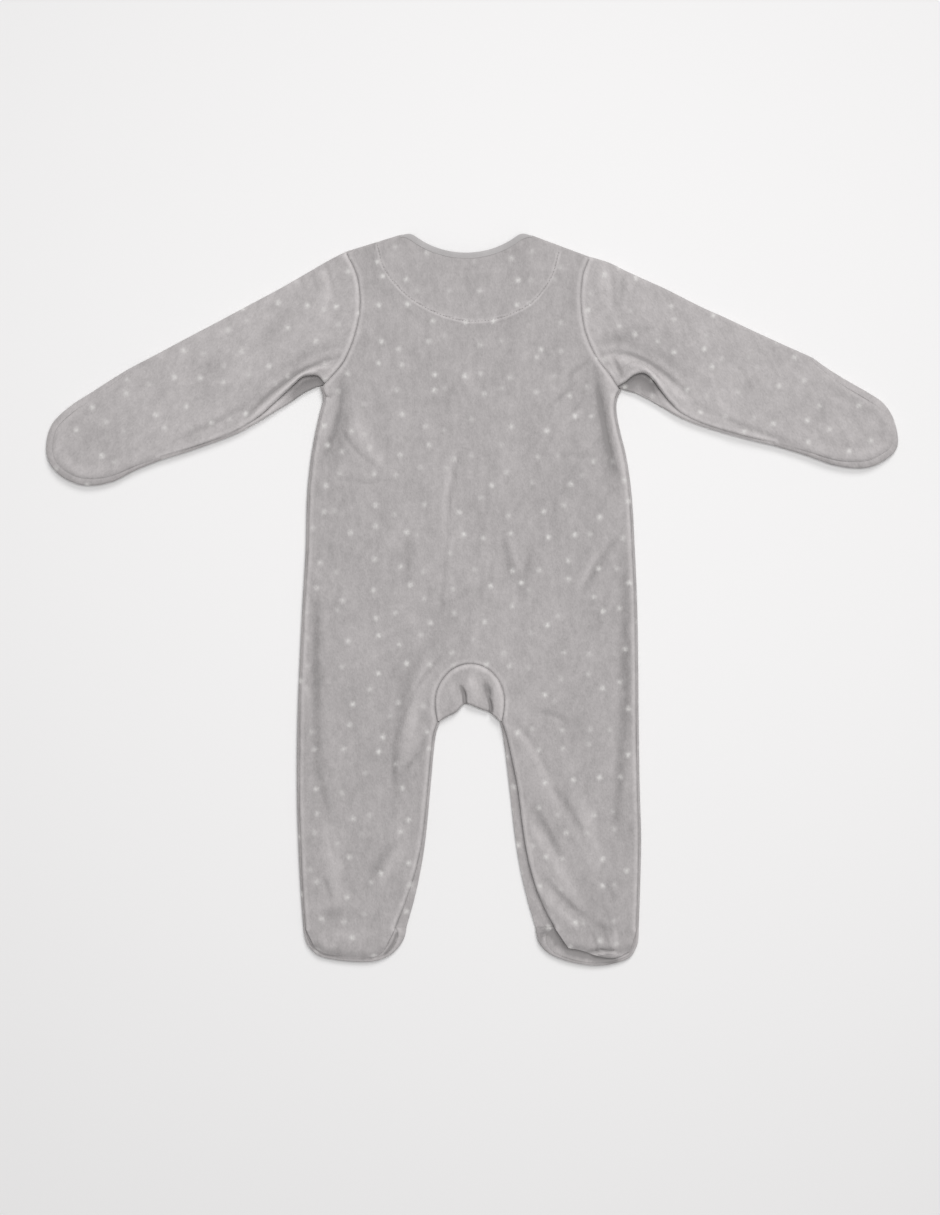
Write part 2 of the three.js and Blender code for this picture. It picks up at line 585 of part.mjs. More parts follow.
function backHalf(side) {
  const neckHalf = (t) => backNeck(outwards(side) * neckAngle * (1 - t));
  const shoulder = straight(tipOf(side), neckTip(side));
  const top = (u) =>
    u < SHOULDER_SHARE
      ? shoulder(u / SHOULDER_SHARE)
      : neckHalf((u - SHOULDER_SHARE) / (1 - SHOULDER_SHARE));
  const seam = curveThrough([tipOf(side), ...armholeRows[side], underarm(side)]);
  const middle = at(CENTRE_X, UNDERARM_MIDDLE_Y);
  const yoke = panel(top, straight(underarm(side), middle), seam, straight(backNeck(0), middle));

  const { torso, crotch, leg } = sideLevels(side);
  const centreLevels = levels(UNDERARM_MIDDLE_Y, gussetTopY, TORSO_DOWN);
  const rowTo = (y, inner) => rowBetween(at(sideAt(side, y), y), inner, ACROSS_BACK);
  const crotchInner = crotch.map((y, i) =>
    i ? gussetSeam(gussetShare(side, i / GUSSET_STEPS)) : at(CENTRE_X, y),
  );
  const heelEdge = heelRows[side].map((row) => at(row.x, row.y));
  const [outer, inner] = [at(sideAt(side, ANKLE_Y), ANKLE_Y), at(innerAt(side, ANKLE_Y), ANKLE_Y)];
  const heel = panel(
    straight(outer, inner),
    curveThrough(heelEdge),
    straight(outer, heelEdge[0]),
    straight(inner, heelEdge[heelEdge.length - 1]),
  );
  return [
    gridOf(yoke, ACROSS_BACK, armholeShares),
    torso.map((y, i) => rowTo(y, at(CENTRE_X, centreLevels[i]))),
    crotch.map((y, i) => rowTo(y, crotchInner[i])),
    leg.map((y) => rowTo(y, at(innerAt(side, y), y))),
    gridOf(heel, ACROSS_BACK, steps(3)),
  ];
}

function makeBack() {
  const sheet = new Sheet();
  for (const side of SIDES) {
    for (const grid of backHalf(side)) sheet.add(raise(grid, backHeight));
  }
  return sheet.turn(1).wall(CLOTH);
}

function makeNeckFacing() {
  const NECK_MARGIN = 3;
  const EDGE_MARGIN = 2;
  const UNDER = 0.55;
  const grid = steps(5).map((v) =>
    steps(18).map((u) => {
      const angle = lerp(-Math.PI / 2, Math.PI / 2, u);
      const neck = backNeck(lerp(-neckAngle, neckAngle, u) * 0.94, -NECK_MARGIN);
      const edge = at(
        FACING.x + (FACING.half - EDGE_MARGIN) * Math.sin(angle),
        FACING.y - EDGE_MARGIN - (FACING.depth - EDGE_MARGIN) * Math.cos(angle),
      );
      return neck.lerp(edge, v);
    }),
  );
  const height = (x, y) => backHeight(x, y) - CLOTH - UNDER;
  return new Sheet().add(raise(grid, height)).turn(1).wall(FACING_CLOTH);
}

// A solid swept through closed sections, with flat ends
function sweep(sections) {
  const size = sections[0].length;
  const triangles = [];
  for (let i = 0; i + 1 < sections.length; i += 1) {
    for (let j = 0; j < size; j += 1) {
      const [a, b] = [i * size + j, i * size + ((j + 1) % size)];
      triangles.push(a, a + size, b + size, a, b + size, b);
    }
  }
  const last = (sections.length - 1) * size;
  for (let j = 1; j + 1 < size; j += 1) {
    triangles.push(0, j, j + 1, last, last + j + 1, last + j);
  }
  return geometryOf(sections.flat(), triangles);
}

// The round section of a binding beside the edge it covers, with half its height and its middle
const BINDING_SIDES = 6;
function bindingSection(edgeAt, half, middle) {
  return steps(BINDING_SIDES)
    .slice(0, -1)
    .map((s) => {
      const turn = 2 * Math.PI * (s + 0.5 / BINDING_SIDES);
      const out = SEAM_GAP + BINDING_WIDTH * (0.5 - 0.5 * Math.cos(turn));
      return onPlane(edgeAt(out), middle + half * Math.sin(turn));
    });
}
function makeBackBinding() {
  const END = 0.9 * neckAngle;
  const HALF_HEIGHT = 1.1;
  const sections = levels(-END, END, steps(20)).map((angle) =>
    bindingSection((out) => backNeck(angle, out), HALF_HEIGHT, REST_HEIGHT - CLOTH / 2),
  );
  return sweep(sections);
}

// The front binding has a section at each point of the front's neck edge
function makeFrontBinding(side) {
  const laps = LAP_COLUMNS.map((x) => frontNeckAngle(CENTRE_X + outwards(side) * x));
  const open = ACROSS_FRONT.filter((u) => u >= SHOULDER_SHARE).map((u) =>
    lerp((outwards(side) * Math.PI) / 2, laps[0], (u - SHOULDER_SHARE) / (1 - SHOULDER_SHARE)),
  );
  const sections = [...open, ...laps.slice(1)].map((angle) => {
    const lift = frontHeight(side)(frontNeck(angle).x);
    return bindingSection((inwards) => frontNeck(angle, inwards), CLOTH / 2, lift + CLOTH / 2);
  });
  return sweep(side === "left" ? sections : sections.reverse());
}

// The points of a rolled edge from its seam: out and up, from the flat cloth round to the seam
const ROLL_ANGLES = [0, 45, 90, 135].map(THREE.MathUtils.degToRad);
function rolledEdge(radius, show) {
  const roll = ROLL_ANGLES.map((angle) => ({
    out: show - radius + radius * Math.sin(angle),
    height: radius * (1 - Math.cos(angle)),
  }));
  return [...roll, { out: SEAM_GAP, height: 2 * radius - 0.1 }];
}
const toFoot = (radius, y) => lerp(FOOT_ROLL, radius, smoothstep(y, ANKLE_Y, ANKLE_Y + 70));
const sideEdge = (side, y) =>
  rolledEdge(toFoot(ROLL, y), SEAM_SHOW).map((p) =>
    at(sideAt(side, y) + outwards(side) * p.out, y, p.height),
  );
const innerEdge = (side, y) =>
  rolledEdge(toFoot(INNER_ROLL, y), showAt(side, y)).map((p) =>
    at(innerAt(side, y) - outwards(side) * p.out, y, p.height),
  );

// The right front is the under lap of the placket, so it steps up onto the left one
const LAP_COLUMNS = [17.5, 11, 0, -LAP_HALF];
const ACROSS_FRONT = [0, 0.16, SHOULDER_SHARE, 0.61, 0.73, 0.86, 1];
const frontHeight = (side) => (x) =>
  side === "left" ? 0 : LAP_LIFT * (1 - smoothstep(x - CENTRE_X, LAP_COLUMNS[1], LAP_COLUMNS[0]));

function makeFront(side) {
  const FRONT_SEAM_GAP = 0.85;
  const xs = LAP_COLUMNS.map((x) => CENTRE_X + outwards(side) * x);
  const lay = (grid) => raise(grid, frontHeight(side));
  const sheet = new Sheet();
  const { torso, crotch, leg } = sideLevels(side);
  const seam = offsetCurve(frontSeam, FRONT_SEAM_GAP);
  const baseOf = (edge) => onPlane(edge[0], 0);
  const corner = baseOf(sideEdge(side, torso[0]));

  // The yoke beside the placket, and the placket down to the gusset
  const shoulderIn = overShoulder(side).multiplyScalar(SEAM_SHOW - ROLL);
  const [tip, neck] = [tipBase(side), neckTip(side).add(shoulderIn)];
  const neckEnd = frontNeckAngle(xs[0]);
  const neckCurve = (t) => frontNeck(lerp((outwards(side) * Math.PI) / 2, neckEnd, t));
  const top = (u) =>
    u < SHOULDER_SHARE
      ? straight(tip, neck)(u / SHOULDER_SHARE)
      : neckCurve(2 * u - 1).addScaledVector(shoulderIn, 2 - 2 * u);
  const yoke = panel(
    top,
    straight(corner, at(xs[0], torso[0])),
    curveThrough([tip, ...armholeRows[side], corner]),
    straight(neckCurve(1), at(xs[0], torso[0])),
  );
  const down = [...SLEEVE_UNDER.map((u) => u * SLEEVE_UNDER_END), 1];
  const neckY = (x) => frontNeck(frontNeckAngle(x)).y;
  const seamY = (x) => seam(shareAtX(frontSeam, x)).y;
  const placket = TORSO_DOWN.map((v) => xs.map((x) => at(x, lerp(torso[0], seamY(x), v))));
  sheet.add(lay(gridOf(yoke, ACROSS_FRONT, down)));
  sheet.add(lay(down.map((v) => xs.map((x) => at(x, lerp(neckY(x), torso[0], v))))));
  sheet.add(lay(placket));

  // The shoulder edge rolls up to the back
  const shoulder = ACROSS_FRONT.filter((u) => u <= SHOULDER_SHARE).map((u) => yoke(u, 0));
  const rolled = rolledEdge(ROLL, SEAM_SHOW).map((p) =>
    shoulder.map((q) =>
      onPlane(q, p.height).addScaledVector(overShoulder(side), p.out - SEAM_SHOW + ROLL),
    ),
  );
  sheet.add(rolled);

  // The body and the leg, and their edges rolled up to the back
  const legInnerYs = leg.map((y, i) => (i ? y : CROTCH_Y - SEAM_GAP));
  const legInner = legInnerYs.map((y) => baseOf(innerEdge(side, y)));
  const [seamStart, seamEnd] = [shareAtX(frontSeam, xs[0]), side === "left" ? 0 : 1];
  const crotchInner = steps(GUSSET_STEPS).map((t) => seam(lerp(seamStart, seamEnd, t * 0.96)));
  crotchInner[0] = placket[placket.length - 1][0];
  crotchInner[GUSSET_STEPS] = legInner[0];
  const flatRow = (y, inner) => rowBetween(baseOf(sideEdge(side, y)), inner, ACROSS_FRONT);
  sheet.add(lay(torso.map((y, i) => flatRow(y, placket[i][0]))));
  sheet.add(lay(crotch.map((y, i) => flatRow(y, crotchInner[i]))));
  sheet.add(lay(leg.map((y, i) => flatRow(y, legInner[i]))));
  sheet.add([...torso, ...crotch.slice(1), ...leg.slice(1)].map((y) => sideEdge(side, y)));
  sheet.add(legInnerYs.map((y) => innerEdge(side, y)));
  return sheet.turn(-1).wall(CLOTH);
}

// Places on a sleeve, along and across its slope
function onSleeve(side, along, across) {
  const [c, s] = [Math.cos(SLEEVE_TILT), Math.sin(SLEEVE_TILT)];
  const { x, y } = SLEEVE_ORIGIN[side];
  return at(x + outwards(side) * (along * c + across * s), y - along * s + across * c);
}
const sleeveAcross = (side) => onSleeve(side, 0, 1).sub(onSleeve(side, 0, 0));
const sleeveAlong = (side) => onSleeve(side, 1, 0).sub(onSleeve(side, 0, 0));
const SLEEVE_DOWN = [0, 0.05, 0.1, 0.15, 0.2, 0.26, 0.33, 0.4, 0.5, 0.6, 0.7, 0.8, 0.9, 0.95, 1];

// The sleeve's hem lies on the mitt at the wrist
const wristLift = (v) => LAP_LIFT * smoothstep(v, 0.9, 0.95);

// The plan curves of a sleeve, by the share of its stations
function sleevePlan(side) {
  const rows = sleeveRows[side].slice(1);
  const head = offsetCurve(armhole[side], outwards(side) * SEAM_GAP);
  const onwards = head(SLEEVE_END).sub(head(SLEEVE_END - 0.02)).normalize();
  const seamStart = head(SLEEVE_END);
  const foldStart = head(0).addScaledVector(overShoulder(side), ROLL);
  const frontStart = seamStart.clone().addScaledVector(onwards, 1.2);
  const stations = (start, along, across) =>
    curveByRows([start, ...rows.map((row) => onSleeve(side, row[along], row[across]))]);
  const fold = stations(foldStart, "foldAlong", "fold");
  const seam = stations(seamStart, "seamAlong", "seam");
  const front = stations(frontStart, "frontAlong", "front");
  const foldSquare = (v) =>
    overShoulder(side).lerp(sleeveAcross(side), smoothstep(v, 0, 0.1)).normalize();
  const foldCentre = (v) => fold(v).addScaledVector(foldSquare(v), -ROLL);
  return { head, fold, seam, front, foldSquare, foldCentre };
}

function sleeveGrids(side) {
  const rows = sleeveRows[side];
  const { head, seam, front, foldSquare, foldCentre } = sleevePlan(side);
  const seams = [armholeRuns[SIDES.indexOf(side)]];
  const wrist = straight(foldCentre(1), seam(1));
  const top = panel(between(head, 0, SLEEVE_END), wrist, foldCentre, seam);
  const topPoint = (u, v, rise) => {
    const p = top(u, v);
    return onPlane(p, upperHeight(seams, p.x, p.y) + rise);
  };
  const topGrid = SLEEVE_DOWN.map((v) => {
    const arch = shareAt(rows, "arch", v);
    const length = v ? foldCentre(v).distanceTo(seam(v)) : ARMHOLE_LENGTH;
    const rolled = rollSection.map((row) =>
      topPoint(
        1 - lerp(row.flatIn, row.archIn, arch) / length,
        v,
        lerp(row.flatHeight, row.archHeight, arch),
      ),
    );
    return [...SLEEVE_ACROSS.map((u) => topPoint(u, v, 0)), ...rolled];
  });

  // The upper fold, from the back round to the front
  const FOLD_ANGLES = [180, 135, 90, 45, 0].map(THREE.MathUtils.degToRad);
  const foldGrid = SLEEVE_DOWN.map((v, i) =>
    FOLD_ANGLES.map((angle) =>
      onPlane(
        foldCentre(v).addScaledVector(foldSquare(v), ROLL * Math.sin(angle)),
        lerp(wristLift(v), topGrid[i][0].z, (1 - Math.cos(angle)) / 2),
      ),
    ),
  );

  // The lower edge, from the flat front round to the seam
  const edgeRow = (v) => {
    const tuck = shareAt(rows, "tuck", v);
    const [from, to] = [front(v), seam(v)];
    const inwards = to.clone().sub(from).normalize();
    const show = from.distanceTo(to) - SEAM_GAP;
    const section = edgeSection.map((row, i) => {
      const far = lerp(row.roundIn, row.flatIn, tuck);
      return { far: i ? Math.min(far, show) : far, height: lerp(row.roundHeight, row.flatHeight, tuck) };
    });
    section.push({ far: show, height: lerp(EDGE_TOP.round, EDGE_TOP.flat, tuck) });
    const lift = wristLift(v);
    return section.map((p) =>
      onPlane(from, lift + p.height * (1 - lift / REST_HEIGHT)).addScaledVector(inwards, p.far),
    );
  };
  const edgeGrid = SLEEVE_DOWN.map(edgeRow);

  // The front of the sleeve, flat on the surface
  const baseEdge = (v) => onPlane(edgeRow(v)[0], 0);
  const under = panel(
    between(head, 0, SLEEVE_UNDER_END),
    straight(foldCentre(1), baseEdge(1)),
    foldCentre,
    baseEdge,
  );
  const underGrid = SLEEVE_DOWN.map((v, i) =>
    SLEEVE_UNDER.map((u) => (u === 1 ? edgeGrid[i][0] : onPlane(under(u, v), wristLift(v)))),
  );
  return { topGrid, foldGrid, edgeGrid, underGrid, wrist };
}

// The curves of a closed end: the rim's outline and its seam inside, both from side to side
function rimCurves({ start, end, startSeam, endSeam }, rows) {
  const points = [start, ...rows, end];
  const centre = start.clone().lerp(end, 0.5);
  const seamPoints = rows.map((row, i) => {
    const ahead = at(points[i + 2].x - points[i].x, points[i + 2].y - points[i].y).normalize();
    const square = at(-ahead.y, ahead.x);
    if (square.dot(at(centre.x - row.x, centre.y - row.y)) < 0) square.negate();
    return at(row.x, row.y).addScaledVector(square, row.show);
  });
  return { rim: curveThrough(points), seam: curveThrough([startSeam, ...seamPoints, endSeam]) };
}
function mittCurves(side, gap) {
  const { fold, seam, front, foldCentre } = sleevePlan(side);
  const shift = sleeveAlong(side).multiplyScalar(gap);
  const rows = mittRows[side].map((row) => ({ ...onSleeve(side, row.along, row.across), show: row.show }));
  const ends = {
    start: fold(1).add(shift),
    end: front(1).add(shift),
    startSeam: foldCentre(1).add(shift),
    endSeam: seam(1).add(shift),
  };
  return rimCurves(ends, rows);
}

// Shares across the wrist, which the sleeve and the mitt have in common
function wristShares(side) {
  const { seam, foldCentre } = sleevePlan(side);
  const width = foldCentre(1).distanceTo(seam(1));
  return [...SLEEVE_ACROSS, ...rollSection.map((row) => 1 - row.flatIn / width)];
}

// A closed end has a third of its outline for each of its sides and for its far edge
const END_SIDE = 1 / 3;
const endLeft = (curve) => between(curve, 0, END_SIDE);
const endFoot = (curve) => between(curve, END_SIDE, 1 - END_SIDE);
const endRight = (curve) => between(curve, 1, 1 - END_SIDE);
const END_DOWN = steps(5);

function makeSleeve(side) {
  const { topGrid, foldGrid, edgeGrid, underGrid, wrist } = sleeveGrids(side);
  const { seam } = mittCurves(side, 0);
  const end = panel(wrist, endFoot(seam), endLeft(seam), endRight(seam));
  const wristRow = topGrid[topGrid.length - 1];
  const seamRun = run(seam, 40);
  const endGrid = END_DOWN.map((v) =>
    wristShares(side).map((u, j) => {
      if (v === 0) return wristRow[j];
      const p = end(u, v);
      const near = REST_HEIGHT + seamLift([seamRun], p.x, p.y);
      return onPlane(p, lerp(wristRow[j].z, near, smoothstep(v, 0, 0.5)));
    }),
  );
  const sheet = new Sheet().add(topGrid).add(endGrid).add(foldGrid).add(underGrid).add(edgeGrid);
  return sheet.turn(1).wall(CLOTH);
}

// A tray that closes an end: flat on the surface, with its edge rolled up round to the seam
function trayGrids({ rim, seam }, radius, across, down) {
  const edgeAt = (t) => {
    const [outline, inner] = [rim(t), seam(t)];
    const out = outline.clone().sub(inner).normalize();
    return rolledEdge(radius, outline.distanceTo(inner)).map((p) =>
      onPlane(inner, p.height).addScaledVector(out, p.out),
    );
  };
  const base = (t) => onPlane(edgeAt(t)[0], 0);
  const flat = panel(straight(base(0), base(1)), endFoot(base), endLeft(base), endRight(base));
  const shares = [
    ...down.map((v) => v * END_SIDE),
    ...across.slice(1).map((u) => lerp(END_SIDE, 1 - END_SIDE, u)),
    ...[...down].reverse().slice(1).map((v) => 1 - v * END_SIDE),
  ];
  return { flat: gridOf(flat, across, down), edge: shares.map(edgeAt), shares };
}

function makeMitt(side) {
  const HEM = 11;
  const { flat, edge } = trayGrids(mittCurves(side, SEAM_GAP), ROLL, wristShares(side), END_DOWN);
  const back = sleeveAlong(side).multiplyScalar(-HEM);
  const hem = flat[0].slice(1, -1);
  const sheet = new Sheet().add(flat).add(edge);
  return sheet.add([hem.map((p) => p.clone().add(back)), hem]).turn(-1).wall(CLOTH);
}

function footCurves(side) {
  const y = ANKLE_Y - SEAM_GAP;
  const out = outwards(side);
  const [outer, inner] = [sideAt(side, y), innerAt(side, y)];
  const ends = {
    start: at(outer + out * SEAM_SHOW, y),
    end: at(inner - out * showAt(side, y), y),
    startSeam: at(outer, y),
    endSeam: at(inner, y),
  };
  return rimCurves(ends, footRows[side]);
}
const footTray = (side) => trayGrids(footCurves(side), FOOT_ROLL, steps(8), steps(4));
function makeFootUpper(side) {
  const { flat, edge } = footTray(side);
  return new Sheet().add(flat).add(edge).turn(-1).wall(CLOTH);
}

// The sole shows as a crescent between the rim of the foot and the back, and runs on under the back
const SOLE_TOP = 3.6;
const SOLE_TUCK = 5;
const SOLE_CLOTH = 1.2;
function makeSole(side) {
  const { seam } = footCurves(side);
  const [start, end] = [seam(0), seam(1)];
  const out = outwards(side);
  const heel = heelRows[side].map((row) => at(row.x, row.y + SOLE_TUCK));
  heel[0].x -= 3 * out;
  heel[heel.length - 1].x += 3 * out;
  const inner = curveThrough([
    at(start.x - out * SOLE_TUCK, start.y),
    ...heel,
    at(end.x + out * SOLE_TUCK, end.y),
  ]);
  const grid = footTray(side).shares.map((t) =>
    [0, 0.35, 0.7, 1].map((w) => onPlane(seam(t).lerp(inner(t), w), SOLE_TOP)),
  );
  return new Sheet().add(grid).turn(1).wall(SOLE_CLOTH);
}

// The gusset folds under, from its seam with the back over its lower fold to its seam with the fronts
function makeGusset() {
  const GUSSET_ROLL = 2.1;
  const fromBack = offsetCurve(gussetSeam, -SEAM_GAP);
  const foldLine = curveThrough(gussetFoldRows);
  const gussetRun = run(gussetSeam, 40);
  const grid = steps(2 * GUSSET_STEPS).map((share) => {
    const t = clamp(share, 0.004, 0.996);
    const [back, turn, front] = [fromBack(t), foldLine(t), frontSeam(t)];
    back.y = Math.max(back.y, CROTCH_Y + SEAM_GAP);
    const radius = Math.min(GUSSET_ROLL, back.distanceTo(turn) * 0.75, front.distanceTo(turn) * 0.9);
    const [above, below] = [turn.clone().sub(back).normalize(), turn.clone().sub(front).normalize()];
    const topEnd = turn.clone().addScaledVector(above, -radius);
    const upper = [0, 0.15, 0.35, 0.6, 0.82, 1].map((s) => {
      const p = back.clone().lerp(topEnd, s);
      return onPlane(p, upperHeight([gussetRun], p.x, p.y) - 0.5 * smoothstep(s, 0.6, 1));
    });
    const top = upper[upper.length - 1].z;
    const round = [135, 90, 45].map(THREE.MathUtils.degToRad).map((angle) => {
      const way = below.clone().lerp(above, angle / Math.PI).normalize();
      const p = turn.clone().addScaledVector(way, radius * (Math.sin(angle) - 1));
      return onPlane(p, (top * (1 - Math.cos(angle))) / 2);
    });
    const under = turn.clone().addScaledVector(below, -radius);
    return [...upper, ...round, under, under.clone().lerp(front, 0.5), front];
  });
  return new Sheet().add(grid).turn(1).wall(CLOTH);
}

// Press studs, each closed pair one turned piece through both laps
const studYs = steps(STUD_COUNT - 1).map((t) => STUD_TOP_Y - t * STUD_PITCH * (STUD_COUNT - 1));
const LAPS_TOP = LAP_LIFT + CLOTH;
function studGeometry(y) {
  const profile = [
    new THREE.Vector2(0, 0),
    new THREE.Vector2(STUD_CAP_RADIUS, 0),
    new THREE.Vector2(STUD_CAP_RADIUS, STUD_METAL),
    new THREE.Vector2(STUD_SHANK_RADIUS, STUD_METAL),
    new THREE.Vector2(STUD_SHANK_RADIUS, LAPS_TOP - STUD_METAL),
    new THREE.Vector2(STUD_PLATE_RADIUS, LAPS_TOP - STUD_METAL),
    new THREE.Vector2(STUD_PLATE_RADIUS, LAPS_TOP),
    new THREE.Vector2(0, LAPS_TOP),
  ];
  return new THREE.LatheGeometry(profile, STUD_SIDES).rotateX(Math.PI / 2).translate(CENTRE_X, y, 0);
}

// Cuts the seats and holes of the studs out of a lap
function cutForStuds(geometry, seatRadius, seatFrom, seatTo) {
  const CUT_MARGIN = STUD_CLEARANCE + 0.1;
  const mesh = new wasm.Mesh({
    numProp: 3,
    vertProperties: geometry.getAttribute("position").array,
    triVerts: new Uint32Array(geometry.index.array),
  });
  const cylinder = (radius, from, to, y) =>
    wasm.Manifold.cylinder(to - from, radius, radius, STUD_SIDES).translate([CENTRE_X, y, from]);
  let solid = new wasm.Manifold(mesh);
  for (const y of studYs) {
    solid = solid.subtract(cylinder(seatRadius + CUT_MARGIN, seatFrom, seatTo, y));
    solid = solid.subtract(cylinder(STUD_SHANK_RADIUS + CUT_MARGIN, -1, LAPS_TOP + 1, y));
  }
  const { vertProperties, triVerts } = solid.getMesh();
  const cut = new THREE.BufferGeometry();
  cut.setAttribute("position", new THREE.BufferAttribute(new Float32Array(vertProperties), 3));
  cut.setIndex(new THREE.BufferAttribute(new Uint32Array(triVerts), 1));
  return cut;
}

const cloth = { color: 0xafacab, roughness: 0.95, metalness: 0 };
const metal = { color: 0xc9c9cb, roughness: 0.35, metalness: 0.8 };
const garment = new THREE.Group();
garment.name = "sleepsuit";

function add(name, geometry, look = cloth) {
  geometry.translate(-MIDDLE.x, -MIDDLE.y, 0);
  const mesh = new THREE.Mesh(geometry, new THREE.MeshStandardMaterial(look));
  mesh.name = name;
  garment.add(mesh);
}

const capSeat = STUD_METAL + STUD_CLEARANCE;
const plateSeat = LAPS_TOP - STUD_METAL - STUD_CLEARANCE;
add("back", makeBack());
add("neck_facing", makeNeckFacing());
add("neck_binding_back", makeBackBinding());
add("front_left", cutForStuds(makeFront("left"), STUD_CAP_RADIUS, -1, capSeat));
add("front_right", cutForStuds(makeFront("right"), STUD_PLATE_RADIUS, plateSeat, LAPS_TOP + 1));
for (const side of SIDES) {
  add("neck_binding_front_" + side, makeFrontBinding(side));
  add("sleeve_" + side, makeSleeve(side));
  add("mitt_" + side, makeMitt(side));
  add("foot_upper_" + side, makeFootUpper(side));
  add("sole_" + side, makeSole(side));
}
add("gusset", makeGusset());
studYs.forEach((y, i) => add("stud_" + (i + 1), studGeometry(y), metal));

export default garment;
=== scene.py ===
"""A footed baby sleepsuit in grey spotted velour, laid flat with its back up, over its CAD frame.

Each cut piece is one sheet of cloth of the solid's own form, drawn finer, with its creases, nap and
sewing. Lengths in the tables are millimetres, x to the wearer's right and y towards the neck. Places
in plan are complex numbers, x + y i, so that a turn to the left is a product with i."""

import math

import bmesh
import bpy
import numpy as np
from bpy.props import FloatProperty, FloatVectorProperty, IntProperty, PointerProperty
from bpy.types import Operator, Panel, PropertyGroup
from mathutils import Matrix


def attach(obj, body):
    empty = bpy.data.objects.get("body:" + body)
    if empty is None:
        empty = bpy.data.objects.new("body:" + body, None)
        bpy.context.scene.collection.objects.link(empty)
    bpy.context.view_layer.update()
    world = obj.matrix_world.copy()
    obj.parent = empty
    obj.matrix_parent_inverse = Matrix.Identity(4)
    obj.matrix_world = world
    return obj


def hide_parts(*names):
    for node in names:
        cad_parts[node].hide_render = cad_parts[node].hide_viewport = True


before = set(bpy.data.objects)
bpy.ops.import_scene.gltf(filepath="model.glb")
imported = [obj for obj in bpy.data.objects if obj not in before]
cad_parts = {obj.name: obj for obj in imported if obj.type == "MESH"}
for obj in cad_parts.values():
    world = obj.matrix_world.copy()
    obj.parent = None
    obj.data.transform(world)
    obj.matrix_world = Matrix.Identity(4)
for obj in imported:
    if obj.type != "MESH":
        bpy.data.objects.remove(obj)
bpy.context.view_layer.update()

bl_info = {
    "name": "Footed Baby Sleepsuit",
    "version": (1, 0, 0),
    "blender": (4, 5, 0),
    "location": "View3D > Sidebar > Sleepsuit",
    "description": "Sews a footed baby sleepsuit, laid flat with its back up",
    "category": "Object",
}

MM = 0.001

# The same sizes as the solids
CLOTH = 1.3
FACING_CLOTH = 1.0
BINDING_CLOTH = 0.25
SOLE_CLOTH = 1.2
SEAM_GAP = 0.1
REST_HEIGHT = 5.2
LAP_LIFT = CLOTH + 0.3
ROLL = REST_HEIGHT / 2
ROLL_TURN = 15
INNER_ROLL = 2.1
FOOT_ROLL = 1.95
FOOT_TAPER = 70
GUSSET_ROLL = 2.1
SEAM_SHOW = 2
SEAM_PUFF = 1.1
PUFF_REACH = 4
LEAST_HEIGHT = 4.6
LEAST_CROTCH_HEIGHT = 3.4
PLACKET_END_Y = -73
MIDDLE = 0.08 - 0.27j
CENTRE_X = -1.8
NECK_X = -4.8
NECK_HALF = 46.7
NECK_TIP_Y = 290.5
BACK_NECK_DEPTH = 17.4
FRONT_NECK_DEPTH = 53
BINDING_WIDTH = 3
TIP_ROUND = 0.06
UNDERARM_Y = {"left": 169.5, "right": 167}
UNDERARM_MIDDLE_Y = 168
CROTCH_Y = -98
ANKLE_Y = -262
SHOULDER_TIP = {"left": -99.6 + 275.6j, "right": 93.0 + 271.4j}
SLEEVE_ORIGIN = {"left": -100.8 + 278.7j, "right": 93.9 + 273.8j}
SLEEVE_TILT = math.radians(28)
SLEEVE_END = 0.974
SLEEVE_UNDER_END = 0.97
ARMHOLE_LENGTH = 122
WRIST_HEM = 11
RIM_TROUGH = 9.5
RIM_TROUGH_HALF = 4.4
HEEL_LIFT = 0.8
HEEL_REACH = 6
HEM_DROP = 1
HEM_REACH = 2.2
LAP_OVER = 10
LAP_STEP = (11, 17.5)
PLACKET_STITCH_X = 7.6
FACING_HALF = 73
FACING_DEPTH = 62
FACING_MIDDLE = -3 + 281.5j
FACING_LIFT = 0.9
FACING_INSET = 2
SOLE_SEAM_TOP = 3.7
STUD_YS = [226, 172, 118, 64, 10, -44]
STUD_DIMPLE = 0.3
STUD_DIMPLE_EDGE = (5.3, 6.4)
PLACKET_STITCH_ENDS = (228, -64)

# The surface lies just under the garment. The camera looks straight down, from over this place.
SURFACE_DROP = 0.35
CAMERA_OVER = -1.6 - 6.8j
CAMERA_HEIGHT = 1620

# How fine the sheets are drawn, and the lengths that they are divided by
FINE = 2.0
COARSE = 4.0
HALF_WIDTH = 130
YOKE_DEPTH = 112
SLEEVE_LENGTH = 220

SIDES = ("left", "right")
OUTWARDS = {"left": -1, "right": 1}


def table(columns, *rows):
    """A short table, as an array for each named column."""
    return {name: np.array(column, float) for name, column in zip(columns.split(), zip(*rows))}


BODY = table(
    "y left right",
    (172, -120.4, 119.6),
    (167, -118.4, 117.4),
    (160, -116.9, 114.0),
    (150, -119.4, 113.4),
    (135, -122.8, 116.0),
    (115, -126.4, 120.9),
    (84, -129.6, 125.4),
    (40, -130.8, 128.0),
    (-5, -133.4, 129.9),
    (-50, -135.6, 130.7),
    (-98, -137.4, 131.1),
    (-150, -137.8, 131.9),
    (-190, -136.8, 133.0),
    (-230, -135.0, 132.3),
    (-262, -132.8, 131.2),
)

